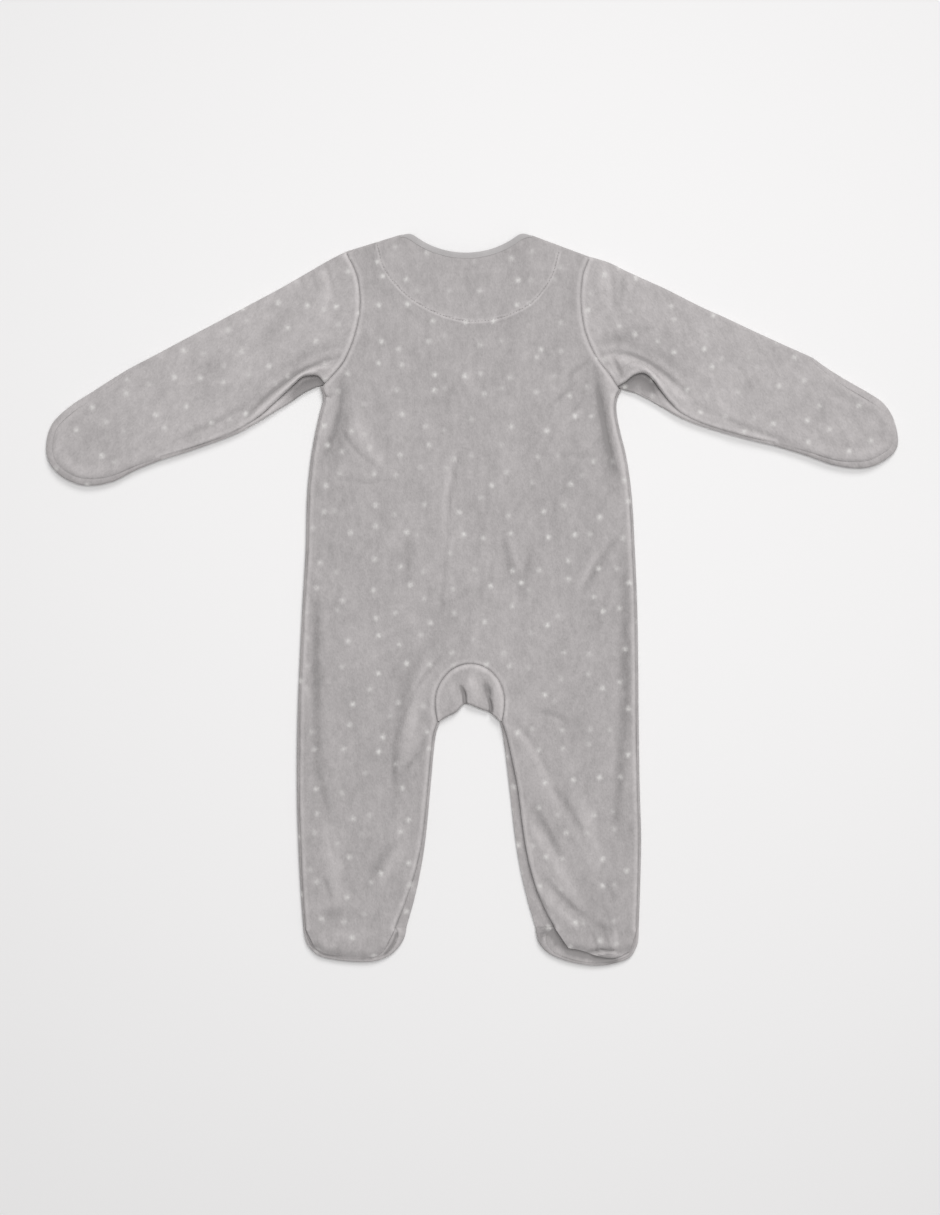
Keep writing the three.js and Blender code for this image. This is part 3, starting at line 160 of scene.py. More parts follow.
# The inner leg seams, how far the front shows past each, and how far it drops under the back's hem
LEGS = table(
    "y left right show_left show_right drop_left drop_right",
    (-98, -27.6, 24.0, 1.8, 1.8, 0, 0),
    (-110, -31.2, 28.0, 2.0, 3.0, 0.1, 0.2),
    (-150, -35.2, 36.4, 2.0, 6.4, 0.25, 0.5),
    (-190, -39.4, 41.6, 2.4, 7.0, 0.25, 0.55),
    (-215, -44.6, 46.6, 3.8, 8.0, 0.2, 0.5),
    (-240, -52.6, 54.8, 6.4, 10.4, 0.15, 0.5),
    (-262, -61.2, 65.8, 8.8, 15.0, 0.1, 0.5),
)

ARMHOLES = {
    "left": table("x y", (-91.8, 258), (-89.2, 236), (-92.8, 213), (-101.6, 190.5), (-112.6, 176.6)),
    "right": table("x y", (88.2, 257), (87.0, 236), (90.4, 213), (98.6, 194), (109.0, 180)),
}

# Stations down each sleeve, along and across its slope from the shoulder
SLEEVE_COLUMNS = "fold_along fold seam_along seam front_along front arch tuck"
SLEEVES = {
    "left": table(
        SLEEVE_COLUMNS,
        (0, -1.0, 68, -84, 68, -86, 0, 1),
        (15, -1.0, 66.6, -79.6, 72.4, -85.6, 0.5, 1),
        (30, -1.5, 70.4, -76.6, 77.4, -85.2, 1, 1),
        (45, -2.0, 78, -74.2, 84, -85.2, 1, 1),
        (61, -2.6, 86.6, -76, 91, -86, 0.85, 1),
        (78, -2.6, 96, -78.6, 99, -86.8, 0.6, 0.9),
        (96, -2.7, 108.4, -81.6, 109.6, -87.4, 0.3, 0.4),
        (116, -2.7, 124, -85.2, 124.6, -88.4, 0.1, 0.1),
        (142, -2.6, 148, -86.4, 148.2, -88.5, 0, 0),
        (172, -2.7, 180, -82.2, 180.2, -84.2, 0, 0),
        (200, -2.6, 208, -77.0, 208.3, -79.0, 0, 0),
    ),
    "right": table(
        SLEEVE_COLUMNS,
        (0, 1.5, 72, -81, 72, -83, 0, 1),
        (16, 2.6, 72.8, -75, 78, -80.8, 0.5, 1),
        (32, 3.2, 76, -67.8, 83.6, -79.4, 1, 1),
        (48, 4.2, 82, -63, 90.4, -79, 1, 1),
        (64, 5.3, 90, -64, 97.6, -79, 0.9, 1),
        (82, 5.7, 100, -68.5, 105.4, -79.4, 0.7, 0.9),
        (100, 6.2, 111, -73.1, 113.6, -79.6, 0.35, 0.5),
        (118, 7.4, 124, -76.4, 124.6, -79.8, 0.1, 0.1),
        (142, 8.6, 144, -75.5, 144.4, -77.6, 0, 0),
        (170, 10.2, 173, -69.6, 173.5, -71.6, 0, 0),
        (196, 11.9, 200, -62.6, 200.6, -64.6, 0, 0),
    ),
}

# A sleeve's lower edge, in from the front's edge and up: rolled round, and flat under the arch
EDGE_SECTION = table(
    "round_in round_height flat_in flat_height",
    (2.6, 0, 1.7, 0),
    (1.07, 0.5, 0.5, 0.5),
    (0.13, 1.8, 0, 1.6),
    (0.13, 3.4, 0.4, 2.8),
    (1.07, 4.7, 1.7, 3.4),
)
EDGE_TOP_ROUND = 5.1
EDGE_TOP_FLAT = 4.2

# The back of the sleeve above it, in from the seam and up: nearly flat, and rolled over at the arch.
# The rest of its width is flat.
FLAT_SHARE = 0.72
ROLL_SECTION = table(
    "flat_in flat_height arch_in arch_height",
    (14, 0.4, 12, 0.6),
    (10.5, 0.7, 9.2, 3.2),
    (7.5, 0.9, 6.4, 5.3),
    (4, 1.1, 3, 5.7),
    (1.6, 0.6, 0.5, 4.2),
    (0, 0, 0, 2.2),
)

# Half of the section of the neck binding, out from the back's edge and up from its middle
BINDING_SECTION = table(
    "out height",
    (-1.6, 0.94),
    (-0.6, 0.98),
    (0.6, 0.98),
    (1.7, 0.86),
    (2.5, 0.6),
    (2.9, 0.3),
    (3, 0),
)

MITTS = {
    "left": table(
        "along across show",
        (213, -3.4, 4.0),
        (232, -5.0, 5.4),
        (253, -6.8, 5.6),
        (272, -12.4, 5.6),
        (284, -24.5, 5.6),
        (288.8, -39.0, 5.6),
        (284.5, -54.5, 5.6),
        (272, -68.5, 5.4),
        (252, -75.8, 4.4),
        (230, -76.6, 3.0),
    ),
    "right": table(
        "along across show",
        (210, 10.0, 4.0),
        (228, 8.8, 5.4),
        (247, 8.2, 5.6),
        (263, 6.2, 5.6),
        (277, -2.4, 5.6),
        (288.4, -18.6, 5.6),
        (284.5, -33.5, 5.6),
        (273, -46.6, 5.2),
        (252, -55.4, 4.2),
        (226, -59.6, 2.8),
    ),
}

FEET = {
    "left": table(
        "x y show",
        (-133.6, -270.0, 2.4),
        (-130.4, -277.5, 2.6),
        (-121.0, -285.6, 2.7),
        (-100.0, -289.4, 2.7),
        (-80.0, -289.6, 2.7),
        (-66.5, -285.0, 3.2),
        (-57.6, -276.6, 4.4),
        (-53.4, -268.5, 6.4),
    ),
    "right": table(
        "x y show",
        (133.0, -270.0, 2.4),
        (131.2, -278.5, 2.6),
        (124.0, -287.6, 2.7),
        (103.0, -292.8, 2.7),
        (82.0, -290.8, 2.7),
        (64.0, -284.6, 3.6),
        (54.6, -276.4, 6.4),
        (51.6, -268.5, 10.6),
    ),
}

HEELS = {
    "left": table("x y", (-125, -278.6), (-116, -283), (-98, -285.4), (-80, -286), (-70.5, -281)),
    "right": table("x y", (126.5, -281), (113, -286.6), (99, -284.4), (87, -280.4), (77, -278.6)),
}

GUSSET_BACK = table(
    "x y",
    (-27.6, -98.0),
    (-29.4, -87.0),
    (-28.8, -76.0),
    (-24.2, -65.0),
    (-14.8, -55.4),
    (-1.8, -51.5),
    (11.2, -55.0),
    (20.4, -63.6),
    (25.2, -74.5),
    (25.8, -86.0),
    (24.0, -98.0),
)
GUSSET_FOLD = table(
    "x y",
    (-24.6, -96.8),
    (-18.5, -93.4),
    (-12.4, -90.2),
    (-7.4, -84.8),
    (-2.6, -84.2),
    (5.2, -87.4),
    (14.0, -90.8),
    (21.2, -96.8),
)
GUSSET_FRONT = table(
    "x y",
    (-27.2, -96.2),
    (-24.0, -84.0),
    (-14.0, -74.6),
    (-1.8, -71.0),
    (10.4, -74.4),
    (20.6, -83.6),
    (23.8, -96.2),
)

# The hollow under the arch of each sleeve, where the cloth lies in shade
HOLLOW_REACH = 8
HOLLOWS = {
    "left": table("x y", (-119, 173), (-128, 172), (-137, 165)),
    "right": table("x y", (124, 174), (134, 179), (142, 172)),
}

# How far each sole runs on under the back's hem, or stops short of it, its height there, how far
# the shade under the hem reaches, and the width and area of the part of the cut that shows
SOLES = {
    "left": {"tuck": -0.15, "top": 4.1, "shade": 1.1, "width": 10.5, "area": 360},
    "right": {"tuck": 5, "top": 2.8, "shade": 3.8, "width": 22, "area": 800},
}

# The shade under the lifted hem of each foot
FOOT_HOLLOWS = {
    "left": table("x y", (-60, -267), (-63, -275), (-69, -283)),
    "right": table("x y", (60, -262), (68, -269), (78, -281), (98, -286), (113, -289)),
}

# The topstitching that holds the facing to the back
FACING_STITCHES = table(
    "x y",
    (-75.4, 282.0),
    (-69.8, 263.2),
    (-53.6, 243.6),
    (-33.6, 230.6),
    (-13.6, 223.4),
    (2.4, 221.4),
    (22.4, 224.2),
    (46.4, 235.6),
    (62.4, 255.2),
    (69.2, 276.0),
)

# Creases: start, middle and end in plan, half width, and rise or depth. They shape the upper cloth,
# and give it a painted highlight on ridges and painted shade in troughs. The first rows are the
# solids' own largest folds, and the others are finer.
CREASES = table(
    "x1 y1 x2 y2 x3 y3 width rise",
    # the solids' folds
    (-101, 168, -101, 134, -112, 104, 5, -0.9),
    (-96, 158, -92, 120, -60, 96, 5, 0.8),
    (101, 174, 106, 128, 113, 78, 4.5, -1.0),
    (108, 172, 110, 146, 117, 108, 4, 2.0),
    (-34, -34, -55, -58, -62, -130, 4, -0.9),
    (-30, -46, -47, -68, -52, -118, 5, 1.5),
    (34, -104, 52, -122, 66, -170, 6, 1.2),
    (56, -184, 62, -216, 88, -250, 6, 1.7),
    (84, -150, 94, -182, 98, -222, 6, 1.2),
    (-118, -180, -106, -212, -110, -246, 6, 1.2),
    (-14, 92, -20, 46, -24, 4, 7, 0.5),
    (-113, 262, -118, 248, -122, 228, 5, 1.2),
    (104, 262, 108, 250, 110, 230, 5, 1.2),
    (-8.8, -70, -5.2, -76, -6.0, -82, 1.3, -4.6),
    (-6.1, -80.5, -5.2, -84.5, -1.8, -87.5, 1.2, -4.0),
    (-16, -66, -15, -76, -12, -86, 3.2, 0.9),
    (-1.5, -62, 0, -73, 2, -84, 3.6, 1.8),
    (10, -67.5, 13.2, -73, 13.8, -80, 2.6, -2.4),
    (13.2, -79, 15.8, -84.5, 15.2, -93, 1.3, -3.8),
    (19, -68, 20, -80, 18, -92, 3.0, 1.3),
    # down the middle of the back
    (-8, 120, -19, 92, -18.4, 50, 1.6, -1.0),
    (-13, 118, -23, 94, -23, 54, 3.0, 0.5),
    (-18.6, 54, -22, 20, -25, -18, 1.6, -0.8),
    (24, 50, 29, 32, 33, 12, 2.2, -0.8),
    (29, 52, 35, 34, 39, 14, 3.0, 0.7),
    (46, 48, 45, 28, 42, 6, 2.0, -0.7),
    (34, 24, 40, 12, 38, 0, 4.0, -0.8),
    (8, 70, 4, 44, 6, 22, 3.0, -0.5),
    (-48, 60, -52, 30, -50, 2, 3.6, -0.5),
    (64, 90, 68, 62, 66, 36, 3.6, -0.5),
    # beside the side seams
    (114, 47, 100, 26, 90, 6, 3.0, -1.2),
    (105, 44, 92, 22, 82, 4, 4.0, 0.7),
    (-124, 12, -125, -60, -123, -142, 3.6, -1.6),
    (-122, -140, -118, -156, -116, -170, 3.0, -0.9),
    (121, 32, 123, -50, 121, -142, 3.8, -1.4),
    (117, -112, 119, -150, 113, -186, 3.4, -1.2),
    (-105, 139, -99, 121, -73, 103, 1.8, -1),
    (-105, 96, -86, 91, -66, 95, 1.6, -0.5),
    (78, 147, 84, 154, 90, 160, 1.8, -0.7),
    (72, 138, 80, 144, 88, 150, 2.4, 0.5),
    (70, 112, 84, 118, 96, 112, 2.0, -0.5),
    # the left hip and leg
    (-16, -39, -50, -66, -61, -116, 2.0, -1.2),
    (-61, -112, -63, -136, -61, -158, 2.2, -1.2),
    (-61, -146, -54, -137, -43, -124, 2.0, -0.9),
    (-38, -110, -40, -118, -43, -127, 2.6, -0.8),
    (-56, -168, -60, -184, -58, -204, 3.0, 0.7),
    (-114, -190, -110, -200, -109, -213, 2.0, -0.9),
    (-119, -220, -114, -232, -112, -244, 2.0, -0.9),
    (-58, -194, -74, -205, -82, -230, 3.6, -0.9),
    (-52, -196, -66, -208, -74, -232, 4.0, 0.8),
    (-122, -256, -108, -247, -92, -252, 5.0, -0.8),
    (-114, -268, -96, -271, -80, -268, 5.0, 0.8),
    # the right leg
    (26, -99, 46, -117, 58, -148, 2.6, 0.6),
    (34, -97, 51, -113, 64, -146, 2.2, -1),
    (49, -90, 68, -90, 81, -102, 2.0, -0.7),
    (62, -147, 80, -165, 90, -194, 2.4, -1),
    (56, -150, 74, -168, 84, -198, 3.0, 0.5),
    (49, -166, 60, -184, 73, -211, 3.0, -1.6),
    (45, -176, 53, -196, 67, -218, 2.8, 1),
    (57, -222, 74, -243, 95, -257, 2.4, -1.3),
    (95, -257, 104, -263, 115, -266, 2.2, -0.8),
    (56, -232, 70, -252, 90, -268, 3.6, 1),
    (95, -222, 112, -226, 113, -243, 2.2, -0.5),
    (104, -261, 107, -270, 109, -279, 1.7, -1.0),
    (93, -282, 106, -278, 119, -282, 1.5, -2.2),
    (96, -285, 107, -281.6, 121, -285, 1.7, 1.4),
    (96, -267, 99, -275, 100, -283, 1.6, -0.8),
    (113, -261, 115, -270, 114, -281, 2.0, 0.9),
    # the sole and ankle that show under the right foot's hem, which lie flat, so here the rows give
    # only painted shade
    (66, -263, 60, -258, 53, -252, 1.6, -1.8),
    (66, -264, 60, -267, 54, -268, 1.4, -1.6),
    (70, -271, 68, -275, 64, -278, 1.6, -1.4),
    (62, -252, 57, -244, 54, -236, 1.6, -1.2),
    # the sleeve heads
    (-103, 176, -104, 140, -120, 108, 2.2, -1.6),
    (-111, 172, -112, 140, -125, 112, 3.0, 0.8),
    (-122, 163, -117, 160, -111, 163, 1.3, -1.8),
    (98, 187, 103, 140, 118, 88, 2.2, -1.8),
    (106, 180, 112, 140, 124, 92, 3.0, 0.9),
    (112, 193, 117, 187, 119, 176, 1.5, -1.8),
    (75, 176, 86, 186, 96, 190, 1.8, -0.8),
    (60, 150, 74, 166, 84, 172, 1.8, -0.7),
    (-121, 267, -118, 254, -114, 239, 2.2, 0.7),
    (-116, 267, -112, 253, -109, 240, 1.7, -0.9),
    (-128, 263, -126, 252, -122, 240, 2.0, -0.6),
    (-137, 258, -134, 250, -132, 242, 2.0, -0.4),
    (112, 260, 113, 247, 114, 233, 1.7, -1),
    (107, 263, 107.5, 250, 108, 236, 2.0, 0.5),
    (120, 257, 120, 244, 118, 232, 2.0, -0.5),
    (130, 250, 129, 242, 128, 236, 2.0, -0.4),
    # under the arms
    (-108, 187, -137, 183.5, -176, 142, 3.0, 1.3),
    (-105, 193, -143, 187, -180, 145, 1.8, -2.5),
    (-100, 202, -126, 203, -156, 180, 4.0, -0.7),
    (-107, 189, -114, 185, -121, 187, 1.6, -0.7),
    (104, 190, 130, 199, 176, 152, 3.0, 1.2),
    (104, 196, 134, 204, 174, 162, 1.8, -2.1),
    (104, 206, 128, 212, 170, 182, 4.5, -0.8),
    (100, 196, 104, 192, 108, 182, 1.8, -0.9),
    (98, 203, 120, 207, 143, 218, 5.5, -0.8),
    # down the sleeves
    (-165, 163, -200, 143, -240, 124, 2.4, -0.8),
    (172, 157, 215, 137, 262, 122, 2.4, -0.8),
    (-150, 222, -162, 214, -170, 199, 4.0, -0.5),
    (-200, 196, -212, 186, -216, 171, 4.0, -0.5),
    (-246, 170, -254, 160, -256, 146, 4.0, -0.5),
    (150, 226, 158, 214, 160, 197, 4.0, -0.5),
    (215, 183, 222, 172, 224, 158, 4.0, -0.5),
    (277, 157, 280, 150, 280, 142, 2.4, -0.7),
)


# Shares, curves and panels


def steps(count):
    return np.linspace(0, 1, count + 1)


def steps_for(length, spacing=FINE):
    return steps(2 * math.ceil(length / spacing / 2))


def lerp(a, b, t):
    return a + (b - a) * t


def smooth(value, low, high):
    t = np.clip((value - low) / (high - low), 0, 1)
    return t * t * (3 - 2 * t)


def plan(rows):
    return rows["x"] + 1j * rows["y"]


def unit(way):
    return way / np.abs(way)


def column_at(rows, key, column, value):
    """A column of a table at values of its key, on a smooth curve through the rows."""
    order = np.argsort(rows[key])
    keys, column = rows[key][order], rows[column][order]
    row = np.arange(len(keys))
    before, after = np.maximum(row - 1, 0), np.minimum(row + 1, row[-1])
    slope = (column[after] - column[before]) / (keys[after] - keys[before])
    i = np.clip(np.searchsorted(keys, value, side="right") - 1, 0, row[-1] - 1)
    span = keys[i + 1] - keys[i]
    t = np.clip((value - keys[i]) / span, 0, 1)
    bend = t * (1 - t) ** 2 * slope[i] - t * t * (1 - t) * slope[i + 1]
    return lerp(column[i], column[i + 1], t * t * (3 - 2 * t)) + span * bend


def station_at(rows, column, share):
    """A column of a table at shares of its length, kept from 0 to 1."""
    numbered = {"row": steps(len(rows[column]) - 1), column: rows[column]}
    return np.clip(column_at(numbered, "row", column, share), 0, 1)


def spline(points):
    """A smooth curve through plan points, by the share of its rows."""
    p = np.asarray(points, complex)
    p = np.concatenate([[2 * p[0] - p[1]], p, [2 * p[-1] - p[-2]]])
    last = len(p) - 4

    def at(share):
        place = np.clip(share, 0, 1) * (last + 1)
        i = np.minimum(np.asarray(place).astype(int), last)
        s = place - i
        a, b, c, d = p[i], p[i + 1], p[i + 2], p[i + 3]
        cubic = 3 * b - 3 * c + d - a
        return b + s / 2 * (c - a + s * (2 * a - 5 * b + 4 * c - d + s * cubic))

    return at


def lengths_along(line):
    return np.concatenate([[0], np.cumsum(np.abs(np.diff(line)))])


def curve_through(points):
    """A smooth curve through plan points, by the share of its length."""
    curve, shares = spline(points), steps(200)
    length = lengths_along(curve(shares))
    return lambda share: curve(np.interp(np.clip(share, 0, 1) * length[-1], length, shares))


def offset_curve(curve, distance):
    """The same curve moved to the left of the way it runs."""
    step = 0.004

    def at(share):
        ahead = unit(curve(np.minimum(share + step, 1)) - curve(np.maximum(share - step, 0)))
        return curve(share) + 1j * ahead * distance

    return at


def share_at_x(curve, x):
    """The share of a curve at which it reaches an x, for a curve that runs one way in x."""
    shares = steps(2000)
    xs = curve(shares).real
    if xs[-1] < xs[0]:
        shares, xs = shares[::-1], xs[::-1]
    return np.interp(x, xs, shares)


def panel(head, foot, left, right, across, down):
    """A four-sided grid between its edges' points. Head and foot run across, the sides run down."""
    u, v = np.asarray(across)[None, :], np.asarray(down)[:, None]
    flat = lerp(lerp(head[0], head[-1], u), lerp(foot[0], foot[-1], u), v)
    return lerp(head[None, :], foot[None, :], v) + lerp(left[:, None], right[:, None], u) - flat


def end_panel(head, curve, across, down):
    """A grid that closes an end, from its head to the three thirds of a curve round it."""
    foot = curve(lerp(1 / 3, 2 / 3, across))
    return panel(head, foot, curve(down / 3), curve(1 - down / 3), across, down)


def rows_between(start, end, shares):
    return lerp(np.asarray(start)[:, None], np.asarray(end)[:, None], np.asarray(shares)[None, :])


def distance_to(line, places):
    """How far plan places are from a run of points, and the share of its length where they are."""
    best = np.full(places.shape, 1e9)
    along = np.zeros(places.shape)
    length = lengths_along(line)
    for i, way in enumerate(np.diff(line)):
        t = np.clip(((places - line[i]) * np.conj(way)).real / abs(way) ** 2, 0, 1)
        away = np.abs(places - line[i] - t * way)
        near = away < best
        best[near] = away[near]
        along[near] = length[i] + t[near] * abs(way)
    return best, along / length[-1]


# Heights of the upper cloth

SWAY_WAVES = 22
SWAY_LENGTHS = (16, 70)
SWAY_SLOPE = 0.0022
CREASE_ENDS = (0.08, 0.92)


def crease_rise(places):
    """What the creases add: full along each one's middle, fading out at its ends and sides."""
    rise, t = np.zeros(places.shape), steps(16)
    for x1, y1, x2, y2, x3, y3, width, height in zip(*CREASES.values()):
        start, middle, end = x1 + 1j * y1, x2 + 1j * y2, x3 + 1j * y3
        line = (1 - t) ** 2 * start + 2 * t * (1 - t) * middle + t * t * end
        centre = line[len(line) // 2]
        near = np.abs(places - centre) < np.abs(line - centre).max() + 3 * width
        if near.any():
            away, along = distance_to(line, places[near])
            ends = np.sin(np.pi * lerp(*CREASE_ENDS, along))
            rise[near] += height * ends * np.exp(-((away / width) ** 2))
    return rise


def sway(places):
    """The cloth's own unevenness: long low waves in all directions."""
    random = np.random.default_rng(5)
    height = np.zeros(places.shape)
    for _ in range(SWAY_WAVES):
        length = random.uniform(*SWAY_LENGTHS)
        turn = np.exp(1j * random.uniform(0, np.pi))
        phase = random.uniform(0, 2 * np.pi)
        height += length * np.sin((places * turn).real * 2 * np.pi / length + phase)
    return height * SWAY_SLOPE


def seam_lift(seams, places):
    """The seam allowances lift the cloth beside each seam."""
    lift = np.zeros(places.shape)
    for seam in seams:
        away = distance_to(seam, places)[0] / PUFF_REACH
        lift += SEAM_PUFF * away * np.exp(1 - away)
    return lift


def upper_height(seams, places):
    placket = smooth(places.imag - PLACKET_END_Y, -3, 3)
    least = lerp(LEAST_CROTCH_HEIGHT, LEAST_HEIGHT, placket)
    height = REST_HEIGHT + seam_lift(seams, places) + crease_rise(places) + sway(places)
    return np.maximum(height, least)


# The seams in plan


def side_at(side, y):
    return column_at(BODY, "y", side, y) + 1j * y


def inner_at(side, y):
    return column_at(LEGS, "y", side, y) + 1j * y


def underarm(side):
    return side_at(side, UNDERARM_Y[side])


def neck_tip(side):
    return NECK_X + OUTWARDS[side] * NECK_HALF + 1j * NECK_TIP_Y


def over_shoulder(side):
    """The way out over the shoulder, square to the shoulder seam."""
    return -OUTWARDS[side] * 1j * unit(neck_tip(side) - SHOULDER_TIP[side])


def tip_base(side):
    return SHOULDER_TIP[side] + over_shoulder(side) * (SEAM_SHOW - ROLL)


ARMHOLE = {
    side: curve_through([tip_base(side), *plan(ARMHOLES[side]), underarm(side)]) for side in SIDES
}
GUSSET_SEAM = curve_through(plan(GUSSET_BACK))
FRONT_SEAM = curve_through(plan(GUSSET_FRONT))
NECK_RADIUS = (NECK_HALF**2 + BACK_NECK_DEPTH**2) / (2 * BACK_NECK_DEPTH)
NECK_CENTRE_Y = NECK_TIP_Y - BACK_NECK_DEPTH + NECK_RADIUS
NECK_ANGLE = math.asin(NECK_HALF / NECK_RADIUS)


def back_neck(angle, inwards=0):
    """The back neck edge, an arc, from angle 0 at its middle."""
    return NECK_X + 1j * NECK_CENTRE_Y - 1j * (NECK_RADIUS - inwards) * np.exp(1j * angle)


def front_neck(angle):
    """The front neck edge, half an ellipse."""
    x = NECK_X + NECK_HALF * np.sin(angle)
    return x + 1j * (NECK_TIP_Y - FRONT_NECK_DEPTH * np.cos(angle))


def front_neck_angle(x):
    return np.arcsin(np.clip((x - NECK_X) / NECK_HALF, -1, 1))


def rounded_tip(across, top):
    """Rounds the corner at the middle of a run of points by the curve between its neighbours."""
    s = np.clip((across - 0.5) / TIP_ROUND / 2 + 0.5, 0, 1)
    a, b, c = [np.interp(0.5 + t * TIP_ROUND, across, top) for t in (-1, 0, 1)]
    return np.where((s > 0) & (s < 1), (1 - s) ** 2 * a + 2 * s * (1 - s) * b + s * s * c, top)


def back_top(side, across):
    """The back's top edge, from the shoulder's tip over the neck's corner to the neck's middle."""
    shoulder = lerp(SHOULDER_TIP[side], neck_tip(side), 2 * across)
    neck = back_neck(OUTWARDS[side] * NECK_ANGLE * (2 - 2 * across))
    return rounded_tip(across, np.where(across < 0.5, shoulder, neck))


def gusset_share(side, share):
    return 0.5 + OUTWARDS[side] * share / 2


def levels(top, bottom, spacing):
    return lerp(top, bottom, steps_for(abs(top - bottom), spacing))


ARMHOLE_RUNS = {side: ARMHOLE[side](steps(40)) for side in SIDES}
SIDE_YS = lerp(172, ANKLE_Y, steps(80))
LEG_YS = lerp(CROTCH_Y, ANKLE_Y, steps(40))
GUSSET_RUN = GUSSET_SEAM(steps(60))
HEEL_RUNS = [curve_through(plan(HEELS[side]))(steps(30)) for side in SIDES]
BACK_SEAMS = [
    *ARMHOLE_RUNS.values(),
    *[side_at(side, SIDE_YS) for side in SIDES],
    *[inner_at(side, LEG_YS) for side in SIDES],
    GUSSET_RUN,
]
STITCH_RUN = curve_through(plan(FACING_STITCHES))(steps(120))


def facing_lift(places):
    far = places - FACING_MIDDLE
    share = np.hypot(far.real / FACING_HALF, far.imag / FACING_DEPTH)
    return FACING_LIFT * (1 - smooth(share, 1, 1.12))


def back_height(places):
    to_heel = np.minimum(*[distance_to(heel, places)[0] for heel in HEEL_RUNS])
    heel = HEEL_LIFT * np.exp(-((to_heel / HEEL_REACH - 1) ** 2 * 2))
    heel = heel - HEM_DROP * np.exp(-((to_heel / HEM_REACH) ** 2))
    return upper_height(BACK_SEAMS, places) + facing_lift(places) + heel


def rolled_edge(radius, show, drop=0):
    """A rolled edge from its seam, out and up, from the flat cloth round to the seam."""
    angle = np.radians(np.arange(0, 151, ROLL_TURN))[:, None]
    out = show - radius + radius * np.sin(angle)
    height = radius * (1 - np.cos(angle))
    out = np.concatenate([out, np.full_like(out[:1], SEAM_GAP)])
    height = np.concatenate([height, np.broadcast_to(2 * radius - 0.1, height[:1].shape)])
    return out, height * (1 - drop * smooth(height, 0.6 * radius, 2 * radius))


def to_foot(radius, y):
    return lerp(FOOT_ROLL, radius, smooth(y, ANKLE_Y, ANKLE_Y + FOOT_TAPER))


# Meshes from grids of points

MERGED = 0.03
FAR_OFF = 8.0
# the range of painted highlight and painted shade that the folds give, and how deep the painted shade
# in a hollow under a fold is
FOLD_SHADE_RANGE = (-2.6, 0.7)
HOLLOW_SHADE = 2.8


def grid(places, heights):
    """A grid of points in metres, from places in plan and heights in millimetres."""
    places, heights = np.broadcast_arrays(places, heights)
    return np.stack([places.real - MIDDLE.real, places.imag - MIDDLE.imag, heights], -1) * MM


def new_object(name, mesh, material):
    mesh.name = name
    obj = bpy.data.objects.new(name, mesh)
    bpy.context.scene.collection.objects.link(obj)
    if material:
        mesh.materials.clear()
        mesh.materials.append(material)
    return obj


def sheet_mesh(name, grids, up):
    """One sheet of cloth from grids that meet at their edges. Its first face looks up or down."""
    points, faces, count = [], [], 0
    for g in grids:
        ids = count + np.arange(g.shape[0] * g.shape[1]).reshape(g.shape[:2])
        count += ids.size
        points.append(g.reshape(-1, 3))
        corners = [ids[:-1, :-1], ids[1:, :-1], ids[1:, 1:], ids[:-1, 1:]]
        faces.append(np.stack(corners, -1).reshape(-1, 4))
    mesh = bpy.data.meshes.new(name)
    mesh.from_pydata(np.concatenate(points).tolist(), [], np.concatenate(faces).tolist())
    work = bmesh.new()
    work.from_mesh(mesh)
    bmesh.ops.remove_doubles(work, verts=work.verts, dist=MERGED * MM)
    bmesh.ops.recalc_face_normals(work, faces=work.faces)
    work.faces.ensure_lookup_table()
    if work.faces[0].normal.z * up < 0:
        bmesh.ops.reverse_faces(work, faces=work.faces)
    work.to_mesh(mesh)
    work.free()
    return mesh


def mark(mesh, name, measure):
    """Keeps a measure of each point's place in plan and height, for the material to draw by."""
    xyz = np.empty(len(mesh.vertices) * 3, np.float32)
    mesh.vertices.foreach_get("co", xyz)
    xyz = xyz.reshape(-1, 3).astype(float) / MM
    layer = mesh.attributes.new(name, "FLOAT", "POINT")
    values = measure(xyz[:, 0] + 1j * xyz[:, 1] + MIDDLE, xyz[:, 2])
    layer.data.foreach_set("value", values.astype(np.float32))


def distance_among(lines):
    """A measure of how far places are from the nearest of several runs, at the most far off."""

    def measure(places, heights):
        away = [distance_to(line, places)[0] for line in lines]
        return np.min([np.full(places.shape, FAR_OFF), *away], axis=0)

    return measure


def fold_shading(hollows):
    """A measure of painted highlight on ridges, and painted shade in troughs and in the hollow under a
    fold.
    """

    def measure(places, heights):
        tone = np.clip(crease_rise(places), *FOLD_SHADE_RANGE)
        for hollow, reach in hollows:
            away = distance_to(hollow, places)[0]
            within = (heights > 1) & (heights < LEAST_HEIGHT)
            tone -= HOLLOW_SHADE * np.exp(-((away / reach) ** 2)) * within
        return tone

    return measure


def cloth(
    node,
    slot,
    grids,
    up,
    material,
    seams=(),
    hollows=(),
    stitches=(),
    fold_shaded=True,
    thickness=CLOTH,
    ending="_cloth",
):
    """A piece of cloth in place of its solid: a sheet with a wall of its thickness inwards, marked
    with how far its seams and stitches are and with the painted shade and highlight of its folds."""
    name = node + ending
    mesh = sheet_mesh(name + "_sheet", grids, up)
    mark(mesh, "seam", distance_among(seams))
    mark(mesh, "stitch", distance_among(stitches))
    # painted highlight on ridges, and painted shade in troughs and hollows
    if fold_shaded:
        mark(mesh, "fold_shade", fold_shading(hollows))
    obj = new_object(name, mesh, material)
    wall = obj.modifiers.new("Cloth", "SOLIDIFY")
    wall.thickness = thickness * MM
    wall.offset = -1
    return place(plain(obj, name), [node], slot)


